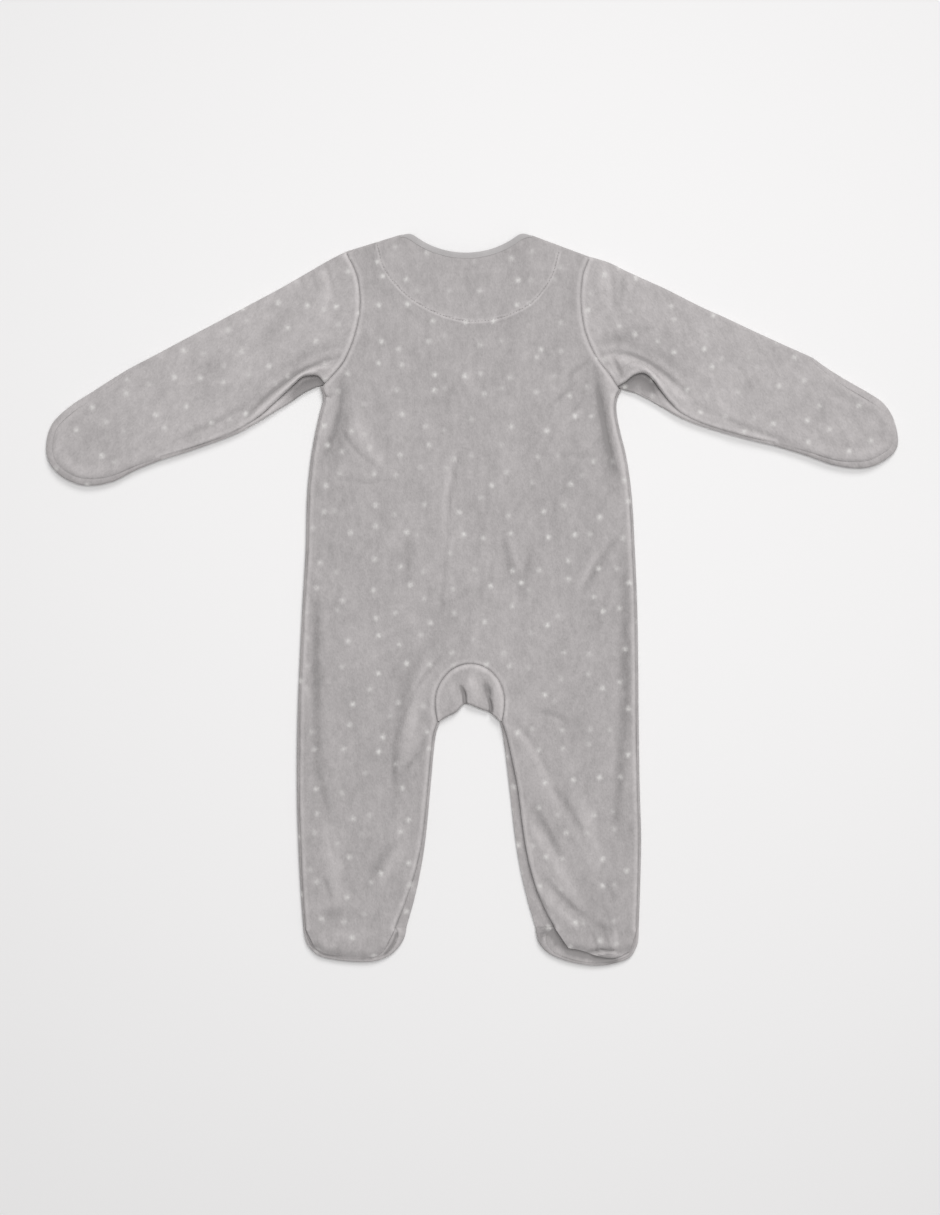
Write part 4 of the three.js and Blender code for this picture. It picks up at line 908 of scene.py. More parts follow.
def plain(obj, name, sharp=math.radians(50)):
    """The object as its modifiers leave it, as a plain mesh with smooth faces."""
    shown = obj.evaluated_get(bpy.context.evaluated_depsgraph_get())
    mesh = bpy.data.meshes.new_from_object(shown)
    old = obj.data
    bpy.data.objects.remove(obj)
    bpy.data.meshes.remove(old)
    mesh.shade_smooth()
    mesh.set_sharp_from_angle(angle=sharp)
    return new_object(name, mesh, None)


def place(obj, nodes, slot):
    """The piece rides on the one body and stands for its solids."""
    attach(obj, "root")
    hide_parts(*nodes)
    return obj


# Materials

# The sleeves and the plain pieces lie a little lighter
SLEEVE_TONE = 1.09
PLAIN_TONE = 1.04
# How far the edges of the spots wander, and the size of the speckle that breaks them up
SPOT_RAG = 1.6 * MM
SPECKLE = 1.6 * MM
EASED = {"interpolation_type": "SMOOTHSTEP"}


def linear(colour):
    """An sRGB hex colour as linear red, green, blue and alpha."""
    parts = [int(colour[i : i + 2], 16) / 255 for i in (1, 3, 5)]
    return [p / 12.92 if p <= 0.04045 else ((p + 0.055) / 1.055) ** 2.4 for p in parts] + [1.0]


def add(tree, kind, inputs=None, **settings):
    """Adds a node with its settings. Its inputs are set to values, or linked to other sockets."""
    made = tree.nodes.new(kind)
    for name, value in settings.items():
        setattr(made, name, value)
    for key, value in (inputs or {}).items():
        if isinstance(value, bpy.types.NodeSocket):
            tree.links.new(value, made.inputs[key])
        else:
            made.inputs[key].default_value = value
    return made


def ready(name, look, *values, **settings):
    """The material of that name, made once. Its look gives the shader's inputs."""
    material = bpy.data.materials.get(name)
    if not material:
        material = bpy.data.materials.new(name)
        material.use_nodes = True
        tree = material.node_tree
        tree.nodes.clear()
        coords = add(tree, "ShaderNodeTexCoord").outputs["Object"]
        shader = add(tree, "ShaderNodeBsdfPrincipled", look(tree, coords, *values, **settings))
        add(tree, "ShaderNodeOutputMaterial", {"Surface": shader.outputs[0]})
    return material


def shades(colour, *depths):
    """Darker and lighter shades of a linear colour."""
    return [[c * depth for c in colour[:3]] + [1.0] for depth in depths]


def printed_spots(tree, turned, grain):
    """How far the small soft spots show, scattered about one to each square of their spacing. Their
    edges are ragged, and some are fainter, as print on a pile is."""
    sizes = bpy.context.scene.sleepsuit_sizes
    ragged = {"Vector": turned, "Scale": 1 / SPOT_RAG, "Detail": 1.0}
    ragged = add(tree, "ShaderNodeTexNoise", ragged).outputs["Color"]
    ragged = {0: ragged, 1: (SPOT_RAG, SPOT_RAG, 0), 2: turned}
    ragged = add(tree, "ShaderNodeVectorMath", ragged, operation="MULTIPLY_ADD").outputs[0]
    cells = {"Vector": ragged, "Scale": 1 / sizes.spot_spacing, "Randomness": 0.82}
    cells = add(tree, "ShaderNodeTexVoronoi", cells, voronoi_dimensions="2D").outputs
    chance = add(tree, "ShaderNodeSeparateColor", {0: cells["Color"]}).outputs[0]
    speckle = {"Vector": grain, "Scale": 1 / SPECKLE, "Detail": 2, "Roughness": 0.55}
    speckle = add(tree, "ShaderNodeTexNoise", speckle).outputs["Fac"]
    # each of what, from, to, and what it gives there: soft discs, their strength, and their gaps
    ranges = [
        (cells["Distance"], 0, 1.2 * sizes.spot_size / sizes.spot_spacing, 1, 0),
        (chance, 0, 1, 0.26, 0.74),
        (speckle, 0.3, 0.65, 0.55, 1.15),
    ]
    inputs = [dict(enumerate(row)) for row in ranges]
    disc, *rest = [add(tree, "ShaderNodeMapRange", row, **EASED).outputs[0] for row in inputs]
    spot = add(tree, "ShaderNodeMath", {0: disc, 1: 2.4}, operation="POWER").outputs[0]
    for factor in rest:
        spot = add(tree, "ShaderNodeMath", {0: spot, 1: factor}, operation="MULTIPLY").outputs[0]
    return spot


def velour(tree, coords, spotted=True, turn=0.0, tone=1.0):
    """Velour, a knitted cotton cloth with a short cut pile. The pile scatters light back from edges
    and folds, lies in cloudy patches where hands have brushed it, and hides the knit. Its colour also
    holds painted highlight on ridges and beside seams and stitches, and painted shade in troughs,
    hollows, seam joins and stitch grooves."""
    colours = bpy.context.scene.sleepsuit_colours
    turned = add(tree, "ShaderNodeMapping", {"Vector": coords, "Rotation": (0, 0, turn)}).outputs[0]
    grain = add(tree, "ShaderNodeMapping", {"Vector": turned, "Scale": (1.0, 0.55, 1.0)}).outputs[0]

    # noises by their size in mm, detail and roughness: the nap's patches, crushed pile and tufts, drawn
    # coarser than real, and the stretches of a seam
    grains = [
        ("patches", 20, 3, 0.55),
        ("crushed", 5.5, 3, 0.6),
        ("tufts", 1.2, 2, 0.55),
        ("stretches", 30, 1, 0.55),
    ]
    made = {}
    for what, size, detail, rough in grains:
        inputs = {"Vector": grain, "Scale": 1 / size / MM, "Detail": detail, "Roughness": rough}
        made[what] = add(tree, "ShaderNodeTexNoise", inputs).outputs["Fac"]
    for what in ("seam", "stitch", "fold_shade"):
        made[what] = add(tree, "ShaderNodeAttribute", attribute_name=what).outputs["Fac"]

    # each of what, from, to, and what it gives there. Seam and stitch are how many mm off they are. A
    # seam's join gets painted shade in some stretches and closes up in others, with a painted highlight
    # on the ridge beside it. A stitch gets painted shade along its groove and a painted highlight
    # beside it.
    ranges = [
        ("open", "stretches", 0.4, 0.6, -0.42, 0),
        ("join_shade", "seam", 0.1, 0.55, 1, 0),
        ("ridge_highlight", "seam", 0.6, 1.6, 0, 0.34),
        ("ridge_highlight_end", "seam", 1.8, 5, 1, 0),
        ("line", "stitch", 0.1, 0.6, -0.08, 0),
        ("beside", "stitch", 0.2, 0.9, 0, 0.24),
        ("beside_end", "stitch", 1, 2.6, 1, 0),
        ("groove", "stitch", 0.2, 0.9, -0.3, 0),
        ("welt", "stitch", 0.4, 1.6, 0, 0.3),
        ("welt_end", "stitch", 1.6, 4, 1, 0),
    ]
    for what, of, *values in ranges:
        inputs = dict(enumerate([made[of], *values]))
        made[what] = add(tree, "ShaderNodeMapRange", inputs, **EASED).outputs[0]

    # sums of one thing times another, each from a start
    # nap: the pile's patches, crushed pile and tufts, with the painted highlight and shade of the
    # folds. sewing: painted shade and highlight at seams and stitches.
    nap = [("patches", 0.5), ("crushed", 0.6), ("tufts", 0.5), ("fold_shade", 0.3)]
    sewing = [("join_shade", "open"), ("ridge_highlight", "ridge_highlight_end"), ("beside", "beside_end"), ("line", 1)]
    sums = {
        "share": (-0.3, nap + sewing),
        "pile": (0, [("crushed", 0.9), ("tufts", 0.35)]),
        "sewn": (0, [("groove", 1), ("welt", "welt_end")]),
    }
    for what, (total, terms) in sums.items():
        for thing, weight in terms:
            inputs = {0: made[thing], 1: made.get(weight, weight), 2: total}
            total = add(tree, "ShaderNodeMath", inputs, operation="MULTIPLY_ADD").outputs[0]
        made[what] = total
    share = add(tree, "ShaderNodeClamp", {0: made["share"]}).outputs[0]
    dark, light = shades(colours.velour, 0.66 * tone, 1.3 * tone)
    colour = add(tree, "ShaderNodeMix", {0: share, 6: dark, 7: light}, data_type="RGBA").outputs[2]
    if spotted:
        spot = printed_spots(tree, turned, grain)
        inputs = {0: spot, 6: colour, 7: shades(colours.spot, 1)[0]}
        colour = add(tree, "ShaderNodeMix", inputs, data_type="RGBA").outputs[2]

    nap = add(tree, "ShaderNodeBump", {"Height": made["pile"], "Strength": 1.0, "Distance": 0.0007})
    bump = {"Height": made["sewn"], "Strength": 1.0, "Distance": 0.0006, "Normal": nap.outputs[0]}
    return {
        "Base Color": colour,
        "Roughness": 0.95,
        "Specular IOR Level": 0.1,
        "Sheen Weight": 0.7,
        "Sheen Roughness": 0.35,
        "Sheen Tint": (0.9, 0.89, 0.88, 1),
        "Normal": add(tree, "ShaderNodeBump", bump).outputs[0],
    }


def jersey(tree, coords, colour, rib=0.0012):
    """Cotton jersey, a thin smooth knit: fine ribs across, clouds of 17 mm and a dull surface."""
    # a wave of scale 1 repeats each 0.31
    ribs = {"Vector": coords, "Scale": 0.31 / rib, "Distortion": 1.2, "Detail": 1, "Detail Scale": 4}
    ribs = add(tree, "ShaderNodeTexWave", ribs, bands_direction="X").outputs["Fac"]
    cloud = {"Vector": coords, "Scale": 60.0, "Detail": 3.0}
    cloud = add(tree, "ShaderNodeTexNoise", cloud).outputs["Fac"]
    share = {0: ribs, 1: 0.25, 2: cloud}
    share = add(tree, "ShaderNodeMath", share, operation="MULTIPLY_ADD").outputs[0]
    dark, light = shades(colour, 0.82, 1.12)
    mixed = add(tree, "ShaderNodeMix", {0: share, 6: dark, 7: light}, data_type="RGBA").outputs[2]
    bump = add(tree, "ShaderNodeBump", {"Height": ribs, "Strength": 0.6, "Distance": 0.0003})
    dull = {"Roughness": 0.9, "Specular IOR Level": 0.2, "Sheen Weight": 0.2}
    return {"Base Color": mixed, **dull, "Normal": bump.outputs[0]}


def painted(tree, coords, colour, rough):
    """A smooth finish, such as spun polyester thread or lacquered brass, with a grain of 0.6 mm."""
    grain = {"Vector": coords, "Scale": 1800.0, "Detail": 2.0}
    grain = add(tree, "ShaderNodeTexNoise", grain).outputs["Fac"]
    dark, light = shades(colour, 0.85, 1.1)
    mixed = add(tree, "ShaderNodeMix", {0: grain, 6: dark, 7: light}, data_type="RGBA").outputs[2]
    bump = add(tree, "ShaderNodeBump", {"Height": grain, "Strength": 0.2, "Distance": 0.0001})
    return {"Base Color": mixed, "Roughness": rough, "Normal": bump.outputs[0]}


def matt_board(tree, coords, colour):
    """A matt white board with a very faint cloud, half a metre wide, in its white."""
    cloud = {"Vector": coords, "Scale": 2.0, "Detail": 2.0}
    cloud = add(tree, "ShaderNodeTexNoise", cloud).outputs[0]
    dark, light = shades(colour, 0.985, 1)
    mixed = add(tree, "ShaderNodeMix", {0: cloud, 6: dark, 7: light}, data_type="RGBA").outputs[2]
    return {"Base Color": mixed, "Roughness": 0.8}


def sleeve_velour(side):
    """The same cloth for a sleeve and its closed end, with its nap turned along the sleeve."""
    name, turn = "cotton_velour_spotted_sleeve_" + side, -OUTWARDS[side] * SLEEVE_TILT
    return ready(name, velour, turn=turn, tone=SLEEVE_TONE)


# Pieces as grids


def back_grids(side):
    """The back's half: yoke, torso, crotch, leg and heel, each a grid of places in plan."""
    across = steps_for(HALF_WIDTH)
    top = back_top(side, across)
    seam = curve_through([SHOULDER_TIP[side], *plan(ARMHOLES[side]), underarm(side)])
    middle, down = CENTRE_X + 1j * UNDERARM_MIDDLE_Y, steps_for(YOKE_DEPTH)
    foot = lerp(underarm(side), middle, across)
    yoke = panel(top, foot, seam(down), lerp(back_neck(0), middle, down), across, down)

    gusset_top = GUSSET_SEAM(0.5).imag
    outer_ys = levels(UNDERARM_MIDDLE_Y, gusset_top, FINE)
    outer_ys = lerp(UNDERARM_Y[side], gusset_top, steps(len(outer_ys) - 1))
    centre = CENTRE_X + 1j * lerp(UNDERARM_MIDDLE_Y, gusset_top, steps(len(outer_ys) - 1))
    torso = rows_between(side_at(side, outer_ys), centre, across)

    inner = GUSSET_SEAM(gusset_share(side, steps(30)))
    outer = side_at(side, inner.imag)
    inner[0] = CENTRE_X + 1j * gusset_top
    crotch = rows_between(outer, inner, across)

    leg_ys = levels(CROTCH_Y, ANKLE_Y, FINE)
    leg = rows_between(side_at(side, leg_ys), inner_at(side, leg_ys), across)

    heel_edge, down = plan(HEELS[side]), steps(12)
    heel = panel(
        leg[-1],
        curve_through(heel_edge)(across),
        lerp(leg[-1][0], heel_edge[0], down),
        lerp(leg[-1][-1], heel_edge[-1], down),
        across,
        down,
    )
    return [yoke, torso, crotch, leg, heel]


def front_lift(side, places):
    """The right front is the under lap, so it steps up onto the left one. Studs seat in dimples."""
    to_stud = np.min([np.abs(places - (CENTRE_X + 1j * y)) for y in STUD_YS], axis=0)
    if side == "left":
        return STUD_DIMPLE * (1 - smooth(to_stud, *STUD_DIMPLE_EDGE))
    return LAP_LIFT * (1 - smooth(places.real - CENTRE_X, *LAP_STEP))


def front_grids(side):
    """A front: a tray that lies on the surface and rolls up to the back at its edges."""
    out = OUTWARDS[side]
    xs = CENTRE_X + out * lerp(LAP_STEP[1], -LAP_OVER, steps(12))
    across = steps_for(HALF_WIDTH, COARSE)
    # columns crowd to the outside below the neck, so that none crosses the steep side of the neck
    spread = across**1.35
    seam = offset_curve(FRONT_SEAM, 0.85)
    top_y, gusset_top = UNDERARM_Y[side], GUSSET_SEAM(0.5).imag
    torso = lerp(top_y, gusset_top, steps(56))
    crotch = GUSSET_SEAM(gusset_share(side, steps(20))).imag
    leg = levels(CROTCH_Y, ANKLE_Y, COARSE)

    def side_edge(ys):
        reach, height = rolled_edge(to_foot(ROLL, ys)[None, :], SEAM_SHOW)
        return side_at(side, ys) + out * reach, height

    def inner_edge(ys):
        show = column_at(LEGS, "y", "show_" + side, ys)
        drop = column_at(LEGS, "y", "drop_" + side, ys)
        reach, height = rolled_edge(to_foot(INNER_ROLL, ys)[None, :], show[None, :], drop[None, :])
        return inner_at(side, ys) - out * reach, height

    def laid(places):
        return grid(places, front_lift(side, places))

    inwards = over_shoulder(side) * (SEAM_SHOW - ROLL)
    tip, neck = tip_base(side), neck_tip(side) + inwards
    corner = side_edge(np.array([top_y]))[0][0, 0]
    neck_curve = front_neck(lerp(out * np.pi / 2, front_neck_angle(xs[0]), 2 * across - 1))
    shoulder = lerp(tip, neck, 2 * across)
    top = np.where(across < 0.5, shoulder, neck_curve + inwards * (2 - 2 * across))
    top = rounded_tip(across, top)
    down = steps(28)
    armhole = curve_through([tip, *plan(ARMHOLES[side]), corner])(down)
    last = xs[0] + 1j * top_y
    yoke = panel(top, lerp(corner, last, spread), armhole, lerp(top[-1], last, down), across, down)
    neck_y = front_neck(front_neck_angle(xs)).imag
    strip = xs[None, :] + 1j * lerp(neck_y[None, :], top_y, down[:, None])
    seam_y = seam(share_at_x(FRONT_SEAM, xs)).imag
    shares = (torso - top_y) / (gusset_top - top_y)
    placket = xs[None, :] + 1j * lerp(top_y, seam_y[None, :], shares[:, None])

    reach, height = rolled_edge(ROLL, SEAM_SHOW)
    shoulder = yoke[0][across <= 0.5][None, :] + over_shoulder(side) * (reach - SEAM_SHOW + ROLL)

    leg_inner = np.append(CROTCH_Y - SEAM_GAP, leg[1:])
    start, end = share_at_x(FRONT_SEAM, xs[0]), {"left": 0, "right": 1}[side]
    crotch_inner = seam(lerp(start, end, steps(20) * 0.96))
    crotch_inner[0] = placket[-1][0]
    crotch_inner[-1] = inner_edge(leg_inner)[0][0, 0]
    ys = np.concatenate([torso, crotch[1:], leg[1:]])
    return [
        laid(yoke),
        laid(strip),
        laid(placket),
        grid(shoulder, height),
        laid(rows_between(side_edge(torso)[0][0], placket[:, 0], spread)),
        laid(rows_between(side_edge(crotch)[0][0], crotch_inner, spread)),
        laid(rows_between(side_edge(leg)[0][0], inner_edge(leg_inner)[0][0], spread)),
        grid(*side_edge(ys)),
        grid(*inner_edge(leg_inner)),
    ]


def on_sleeve(side, along, across):
    """Places on a sleeve, along and across its slope."""
    c, s, out = math.cos(SLEEVE_TILT), math.sin(SLEEVE_TILT), OUTWARDS[side]
    return SLEEVE_ORIGIN[side] + out * (along * c + across * s) + 1j * (across * c - along * s)


def wrist_lift(v):
    return LAP_LIFT * smooth(v, 0.9, 0.95)


def sleeve_curves(side, v):
    """The upper fold, its centre and square, the underarm seam and the front's edge, down a sleeve."""
    rows = SLEEVES[side]
    head = offset_curve(ARMHOLE[side], OUTWARDS[side] * SEAM_GAP)
    onwards = unit(head(SLEEVE_END) - head(SLEEVE_END - 0.02))
    starts = {
        "fold": head(0) + over_shoulder(side) * ROLL,
        "seam": head(SLEEVE_END),
        "front": head(SLEEVE_END) + onwards * 1.2,
    }
    curves = {}
    for name, start in starts.items():
        stations = on_sleeve(side, rows[name + "_along"][1:], rows[name][1:])
        curves[name] = spline([start, *stations])(v)
    slope = on_sleeve(side, 0, 1) - on_sleeve(side, 0, 0)
    square = unit(lerp(over_shoulder(side), slope, smooth(v, 0, 0.1)))
    return head, curves["fold"], curves["fold"] - square * ROLL, square, curves["seam"], curves["front"]


def sleeve_back_section(length, arch):
    """Shares across a sleeve's back and how far they rise: flat for most of it, then by a curve
    through the rolled section."""
    flat = FLAT_SHARE * steps(34)
    shares, rises = [], []
    for far, share in zip(length, arch):
        inwards = lerp(ROLL_SECTION["flat_in"], ROLL_SECTION["arch_in"], share)
        heights = lerp(ROLL_SECTION["flat_height"], ROLL_SECTION["arch_height"], share)
        points = [0.36 * far, (1 - FLAT_SHARE) * far, *(inwards + 1j * heights)]
        rolled = spline(points)(lerp(1 / 7, 1, steps(28)))[1:]
        shares.append(np.concatenate([flat, 1 - rolled.real / far]))
        rises.append(np.concatenate([0 * flat, rolled.imag]))
    return np.array(shares), np.array(rises)


def sleeve_edge(rows, v, seam, front):
    """A sleeve's lower edge, from the edge of its front up to the seam."""
    places, heights = [], []
    for i, share in enumerate(station_at(rows, "tuck", v)):
        way = unit(seam[i] - front[i])
        show = abs(seam[i] - front[i]) - SEAM_GAP
        far = lerp(EDGE_SECTION["round_in"], EDGE_SECTION["flat_in"], share)
        far[1:] = np.minimum(far[1:], show)
        up = lerp(EDGE_SECTION["round_height"], EDGE_SECTION["flat_height"], share)
        points = [*(far + 1j * up), show + 1j * lerp(EDGE_TOP_ROUND, EDGE_TOP_FLAT, share)]
        section = spline(points)(steps(15))
        lift = wrist_lift(v[i])
        places.append(front[i] + way * section.real)
        heights.append(lift + np.maximum(section.imag, 0) * (1 - lift / REST_HEIGHT))
    return np.array(places), np.array(heights)


def sleeve_grids(side):
    """A sleeve in one sheet: its back with the back of the closed end, the upper fold, the front as
    far as the wrist, and the lower edge, which arches under the arm."""
    rows, v = SLEEVES[side], steps_for(SLEEVE_LENGTH)
    head, _, centre, square, seam, front = sleeve_curves(side, v)
    seams = [ARMHOLE_RUNS[side]]
    length = np.abs(seam - centre)
    length[0] = ARMHOLE_LENGTH
    shares, rises = sleeve_back_section(length, station_at(rows, "arch", v))

    def across_panel(head_end, foot_end, left, right, u):
        foot = lerp(left[-1], foot_end, u)
        w = v[:, None]
        top = head(u * head_end)
        corners = lerp(lerp(head(0), head(head_end), u), foot, w)
        return lerp(top, foot, w) + lerp(left[:, None], right[:, None], u) - corners

    top = across_panel(SLEEVE_END, seam[-1], centre, seam, shares)
    top_z = upper_height(seams, top) + rises
    angles = np.radians(np.arange(180, -1, -ROLL_TURN))[None, :]
    fold_p = centre[:, None] + square[:, None] * ROLL * np.sin(angles)
    low, high = wrist_lift(v)[:, None], top_z[:, :1]
    fold_z = lerp(low, high, (1 - np.cos(angles)) / 2)

    edge_p, edge_z = sleeve_edge(rows, v, seam, front)
    u = np.broadcast_to(steps(24)[None, :], (len(v), 25))
    under = across_panel(SLEEVE_UNDER_END, edge_p[-1, 0], centre, edge_p[:, 0], u)
    under[:, -1] = edge_p[:, 0]
    under_z = np.broadcast_to(wrist_lift(v)[:, None], under.shape)

    end_seam, down = mitt_curves(side, 0)[1], steps(38)
    end = end_panel(lerp(centre[-1], seam[-1], shares[-1]), end_seam, shares[-1], down)
    end[0] = top[-1]
    run = end_seam(steps(60))
    trough = np.exp(-(((distance_to(run, end)[0] - RIM_TROUGH) / RIM_TROUGH_HALF) ** 2))
    near = REST_HEIGHT + seam_lift([run], end) + crease_rise(end) + sway(end) - trough
    end_z = lerp(top_z[-1][None, :], near, smooth(down, 0, 0.5)[:, None])
    grids = [grid(top, top_z), grid(end, end_z), grid(fold_p, fold_z), grid(under, under_z)]
    return [*grids, grid(edge_p, edge_z)], [*seams, seam]


def rim_curves(start, end, start_seam, end_seam, rows, shows):
    """The curves of a closed end: its rim's outline and its seam inside, from side to side."""
    points = np.array([start, *rows, end])
    square = 1j * unit(points[2:] - points[:-2])
    centre = (start + end) / 2
    square *= np.where((square * np.conj(centre - rows)).real < 0, -1, 1)
    seam = [start_seam, *(rows + square * shows), end_seam]
    return curve_through(points), curve_through(seam)


def mitt_curves(side, gap):
    _, fold, centre, _, seam, front = sleeve_curves(side, np.array([1.0]))
    shift = gap * (on_sleeve(side, 1, 0) - on_sleeve(side, 0, 0))
    rows = MITTS[side]
    places = on_sleeve(side, rows["along"], rows["across"])
    ends = [fold[0], front[0], centre[0], seam[0]]
    return rim_curves(*[end + shift for end in ends], places, rows["show"])


def tray_grids(rim, seam, radius, across, down):
    """A tray that closes an end: flat on the surface, with its edge rolled up to the seam."""

    def edge(shares):
        outline, inner = rim(shares), seam(shares)
        reach, height = rolled_edge(radius, np.abs(outline - inner)[None, :])
        return inner[None, :] + unit(outline - inner)[None, :] * reach, height

    def base(shares):
        return edge(shares)[0][0]

    ends = base(np.array([0.0, 1.0]))
    flat = end_panel(lerp(ends[0], ends[1], across), base, across, down)
    shares = np.concatenate([down / 3, lerp(1 / 3, 2 / 3, across[1:]), 1 - down[::-1][1:] / 3])
    return flat, edge(shares)


def foot_curves(side):
    y, out, rows = ANKLE_Y - SEAM_GAP, OUTWARDS[side], FEET[side]
    outer, inner = side_at(side, y), inner_at(side, y)
    show = column_at(LEGS, "y", "show_" + side, y)
    ends = [outer + out * SEAM_SHOW, inner - out * show, outer, inner]
    return rim_curves(*ends, plan(rows), rows["show"])


def sole_grid(side):
    """The sole shows as a crescent between the rim of the foot and the hem of the back."""
    seam, tuck, shares = foot_curves(side)[1], SOLES[side]["tuck"], steps(72)
    heel = curve_through(plan(HEELS[side]))(steps(40))
    hem = np.array([side_at(side, ANKLE_Y), *heel, inner_at(side, ANKLE_Y)])
    length = lengths_along(hem)
    inner = np.interp(shares * length[-1], length, hem)
    inner += tuck * unit(hem.mean() + 4j - inner)
    inwards = steps(10)
    heights = lerp(SOLE_SEAM_TOP, SOLES[side]["top"], smooth(inwards, 0, 0.4 if tuck > 0 else 1))
    return grid(rows_between(seam(shares), inner, inwards), heights[None, :])


def gusset_grid():
    """The gusset folds under, from its seam with the back over its fold to its seam with the fronts."""
    from_back, fold_line = offset_curve(GUSSET_SEAM, -SEAM_GAP), curve_through(plan(GUSSET_FOLD))
    places, heights = [], []
    for share in np.clip(steps(120), 0.004, 0.996):
        back, turn, front = from_back(share), fold_line(share), FRONT_SEAM(share)
        back = back.real + 1j * max(back.imag, CROTCH_Y + SEAM_GAP)
        radius = min(GUSSET_ROLL, abs(back - turn) * 0.75, abs(front - turn) * 0.9)
        above, below = unit(turn - back), unit(turn - front)
        s = steps(32)
        upper = lerp(back, turn - above * radius, s)
        upper_z = upper_height([GUSSET_RUN], upper) - 0.5 * smooth(s, 0.6, 1)
        angles = np.radians(np.arange(180 - ROLL_TURN, 0, -ROLL_TURN))
        way = unit(lerp(below, above, angles / np.pi))
        folded = turn + way * radius * (np.sin(angles) - 1)
        folded_z = upper_z[-1] * (1 - np.cos(angles)) / 2
        under = lerp(turn - below * radius, front, steps(5))
        places.append(np.concatenate([upper, folded, under]))
        heights.append(np.concatenate([upper_z, folded_z, 0 * under.real]))
    return grid(np.array(places), np.array(heights))


def there_and_back(run, other):
    """A run followed by another backwards, which ends where the first one does."""
    return np.concatenate([run, other[::-1][1:]])


def binding_grid(edge, out, height, middles, widths=1):
    """A strip folded round a neck edge, with its section given out from the edge and up."""
    outwards = 1j * unit(np.gradient(edge))
    places = edge[:, None] + (outwards * widths)[:, None] * out[None, :]
    return grid(places, middles[:, None] + height[None, :])


# Geometry Nodes for what repeats


def new_tree(name, kinds):
    """A node tree with named inputs, their identifiers, and its group input's sockets."""
    tree, inputs = bpy.data.node_groups.new(name, "GeometryNodeTree"), {}
    for key, kind in kinds.items():
        socket = tree.interface.new_socket(key, in_out="INPUT", socket_type="NodeSocket" + kind)
        inputs[key] = socket.identifier
    tree.interface.new_socket(name, in_out="OUTPUT", socket_type="NodeSocketGeometry")
    return tree, inputs, add(tree, "NodeGroupInput").outputs


def set_on_points(tree, given, points, instance, **turned):
    """Ends a tree: the instance on its points, made real, in the given material."""
    inputs = {"Points": points, "Instance": instance, **turned}
    placed = add(tree, "GeometryNodeInstanceOnPoints", inputs).outputs[0]
    real = add(tree, "GeometryNodeRealizeInstances", {"Geometry": placed}).outputs[0]
    done = add(tree, "GeometryNodeSetMaterial", {"Geometry": real, "Material": given["Material"]})
    add(tree, "NodeGroupOutput", {0: done.outputs[0]})


def stitch_tree():
    """Stitches along an edge path, each a short rounded length of thread."""
    kinds = {"Path": "Geometry", "Pitch": "Float", "Length": "Float", "Thread": "Float"}
    tree, inputs, given = new_tree("Stitches", {**kinds, "Material": "Material"})
    curve = add(tree, "GeometryNodeMeshToCurve", {"Mesh": given["Path"]}).outputs[0]
    spaced = {"Curve": curve, "Length": given["Pitch"]}
    spaced = add(tree, "GeometryNodeResampleCurve", spaced, mode="LENGTH").outputs[0]
    half = {0: given["Length"], 1: 0.5}
    half = add(tree, "ShaderNodeMath", half, operation="MULTIPLY").outputs[0]
    scale = {0: half, 1: given["Thread"], 2: given["Thread"]}
    scale = add(tree, "ShaderNodeCombineXYZ", scale).outputs[0]
    ball = add(tree, "GeometryNodeMeshIcoSphere", {"Radius": 1.0, "Subdivisions": 2}).outputs[0]
    bead = add(tree, "GeometryNodeTransform", {"Geometry": ball, "Scale": scale}).outputs[0]
    tangent = add(tree, "GeometryNodeInputTangent").outputs[0]
    turn = add(tree, "FunctionNodeAlignRotationToVector", {"Vector": tangent}, axis="X").outputs[0]
    set_on_points(tree, given, spaced, bead, Rotation=turn)
    return tree, inputs


def stud_tree():
    """Press studs at points, each a copy of one stud."""
    kinds = {"Points": "Geometry", "Stud": "Object", "Material": "Material"}
    tree, inputs, given = new_tree("Press Studs", kinds)
    info = add(tree, "GeometryNodeObjectInfo", {"Object": given["Stud"]})
    set_on_points(tree, given, given["Points"], info.outputs["Geometry"])
    return tree, inputs


def grown(name, mesh, tree, inputs, values):
    """What a node tree makes from a mesh, as a plain mesh."""
    obj = new_object(name + "_path", mesh, None)
    modifier = obj.modifiers.new(tree.name, "NODES")
    modifier.node_group = tree
    for key, value in values.items():
        modifier[inputs[key]] = value
    return plain(obj, name, math.radians(60))


def path_mesh(name, runs):
    """Runs of points, in metres, as a mesh of edges."""
    points, edges = [], []
    for run in runs:
        first = len(points)
        points += run.reshape(-1, 3).tolist()
        edges += [(i, i + 1) for i in range(first, len(points) - 1)]
    mesh = bpy.data.meshes.new(name)
    mesh.from_pydata(points, edges, [])
    return mesh


# Sizes and colours that a user would change


def length_setting(name, description, size):
    """A length, from millimetres."""
    named = {"name": name, "description": description}
    return FloatProperty(**named, default=size * MM, unit="LENGTH", precision=5)


def colour_setting(name, description, value):
    """A colour, from sRGB hex."""
    named = {"name": name, "description": description}
    return FloatVectorProperty(**named, default=linear(value), subtype="COLOR", size=4, min=0, max=1)


class SleepsuitSizes(PropertyGroup):
    spot_spacing: length_setting("Spot Spacing", "Mean distance between the spots", 22)
    spot_size: length_setting("Spot Size", "Width of a spot", 4.4)
    stitch_pitch: length_setting("Stitch Pitch", "Distance from one topstitch to the next", 2.6)
    stitch_length: length_setting("Stitch Length", "Visible length of a topstitch", 1.3)
    thread: length_setting("Thread Radius", "Half the thickness of the sewing thread", 0.2)
    stud_segments: IntProperty(
        name="Stud Segments",
        description="Segments round each press stud",
        default=40,
        min=12,
        max=96,
    )


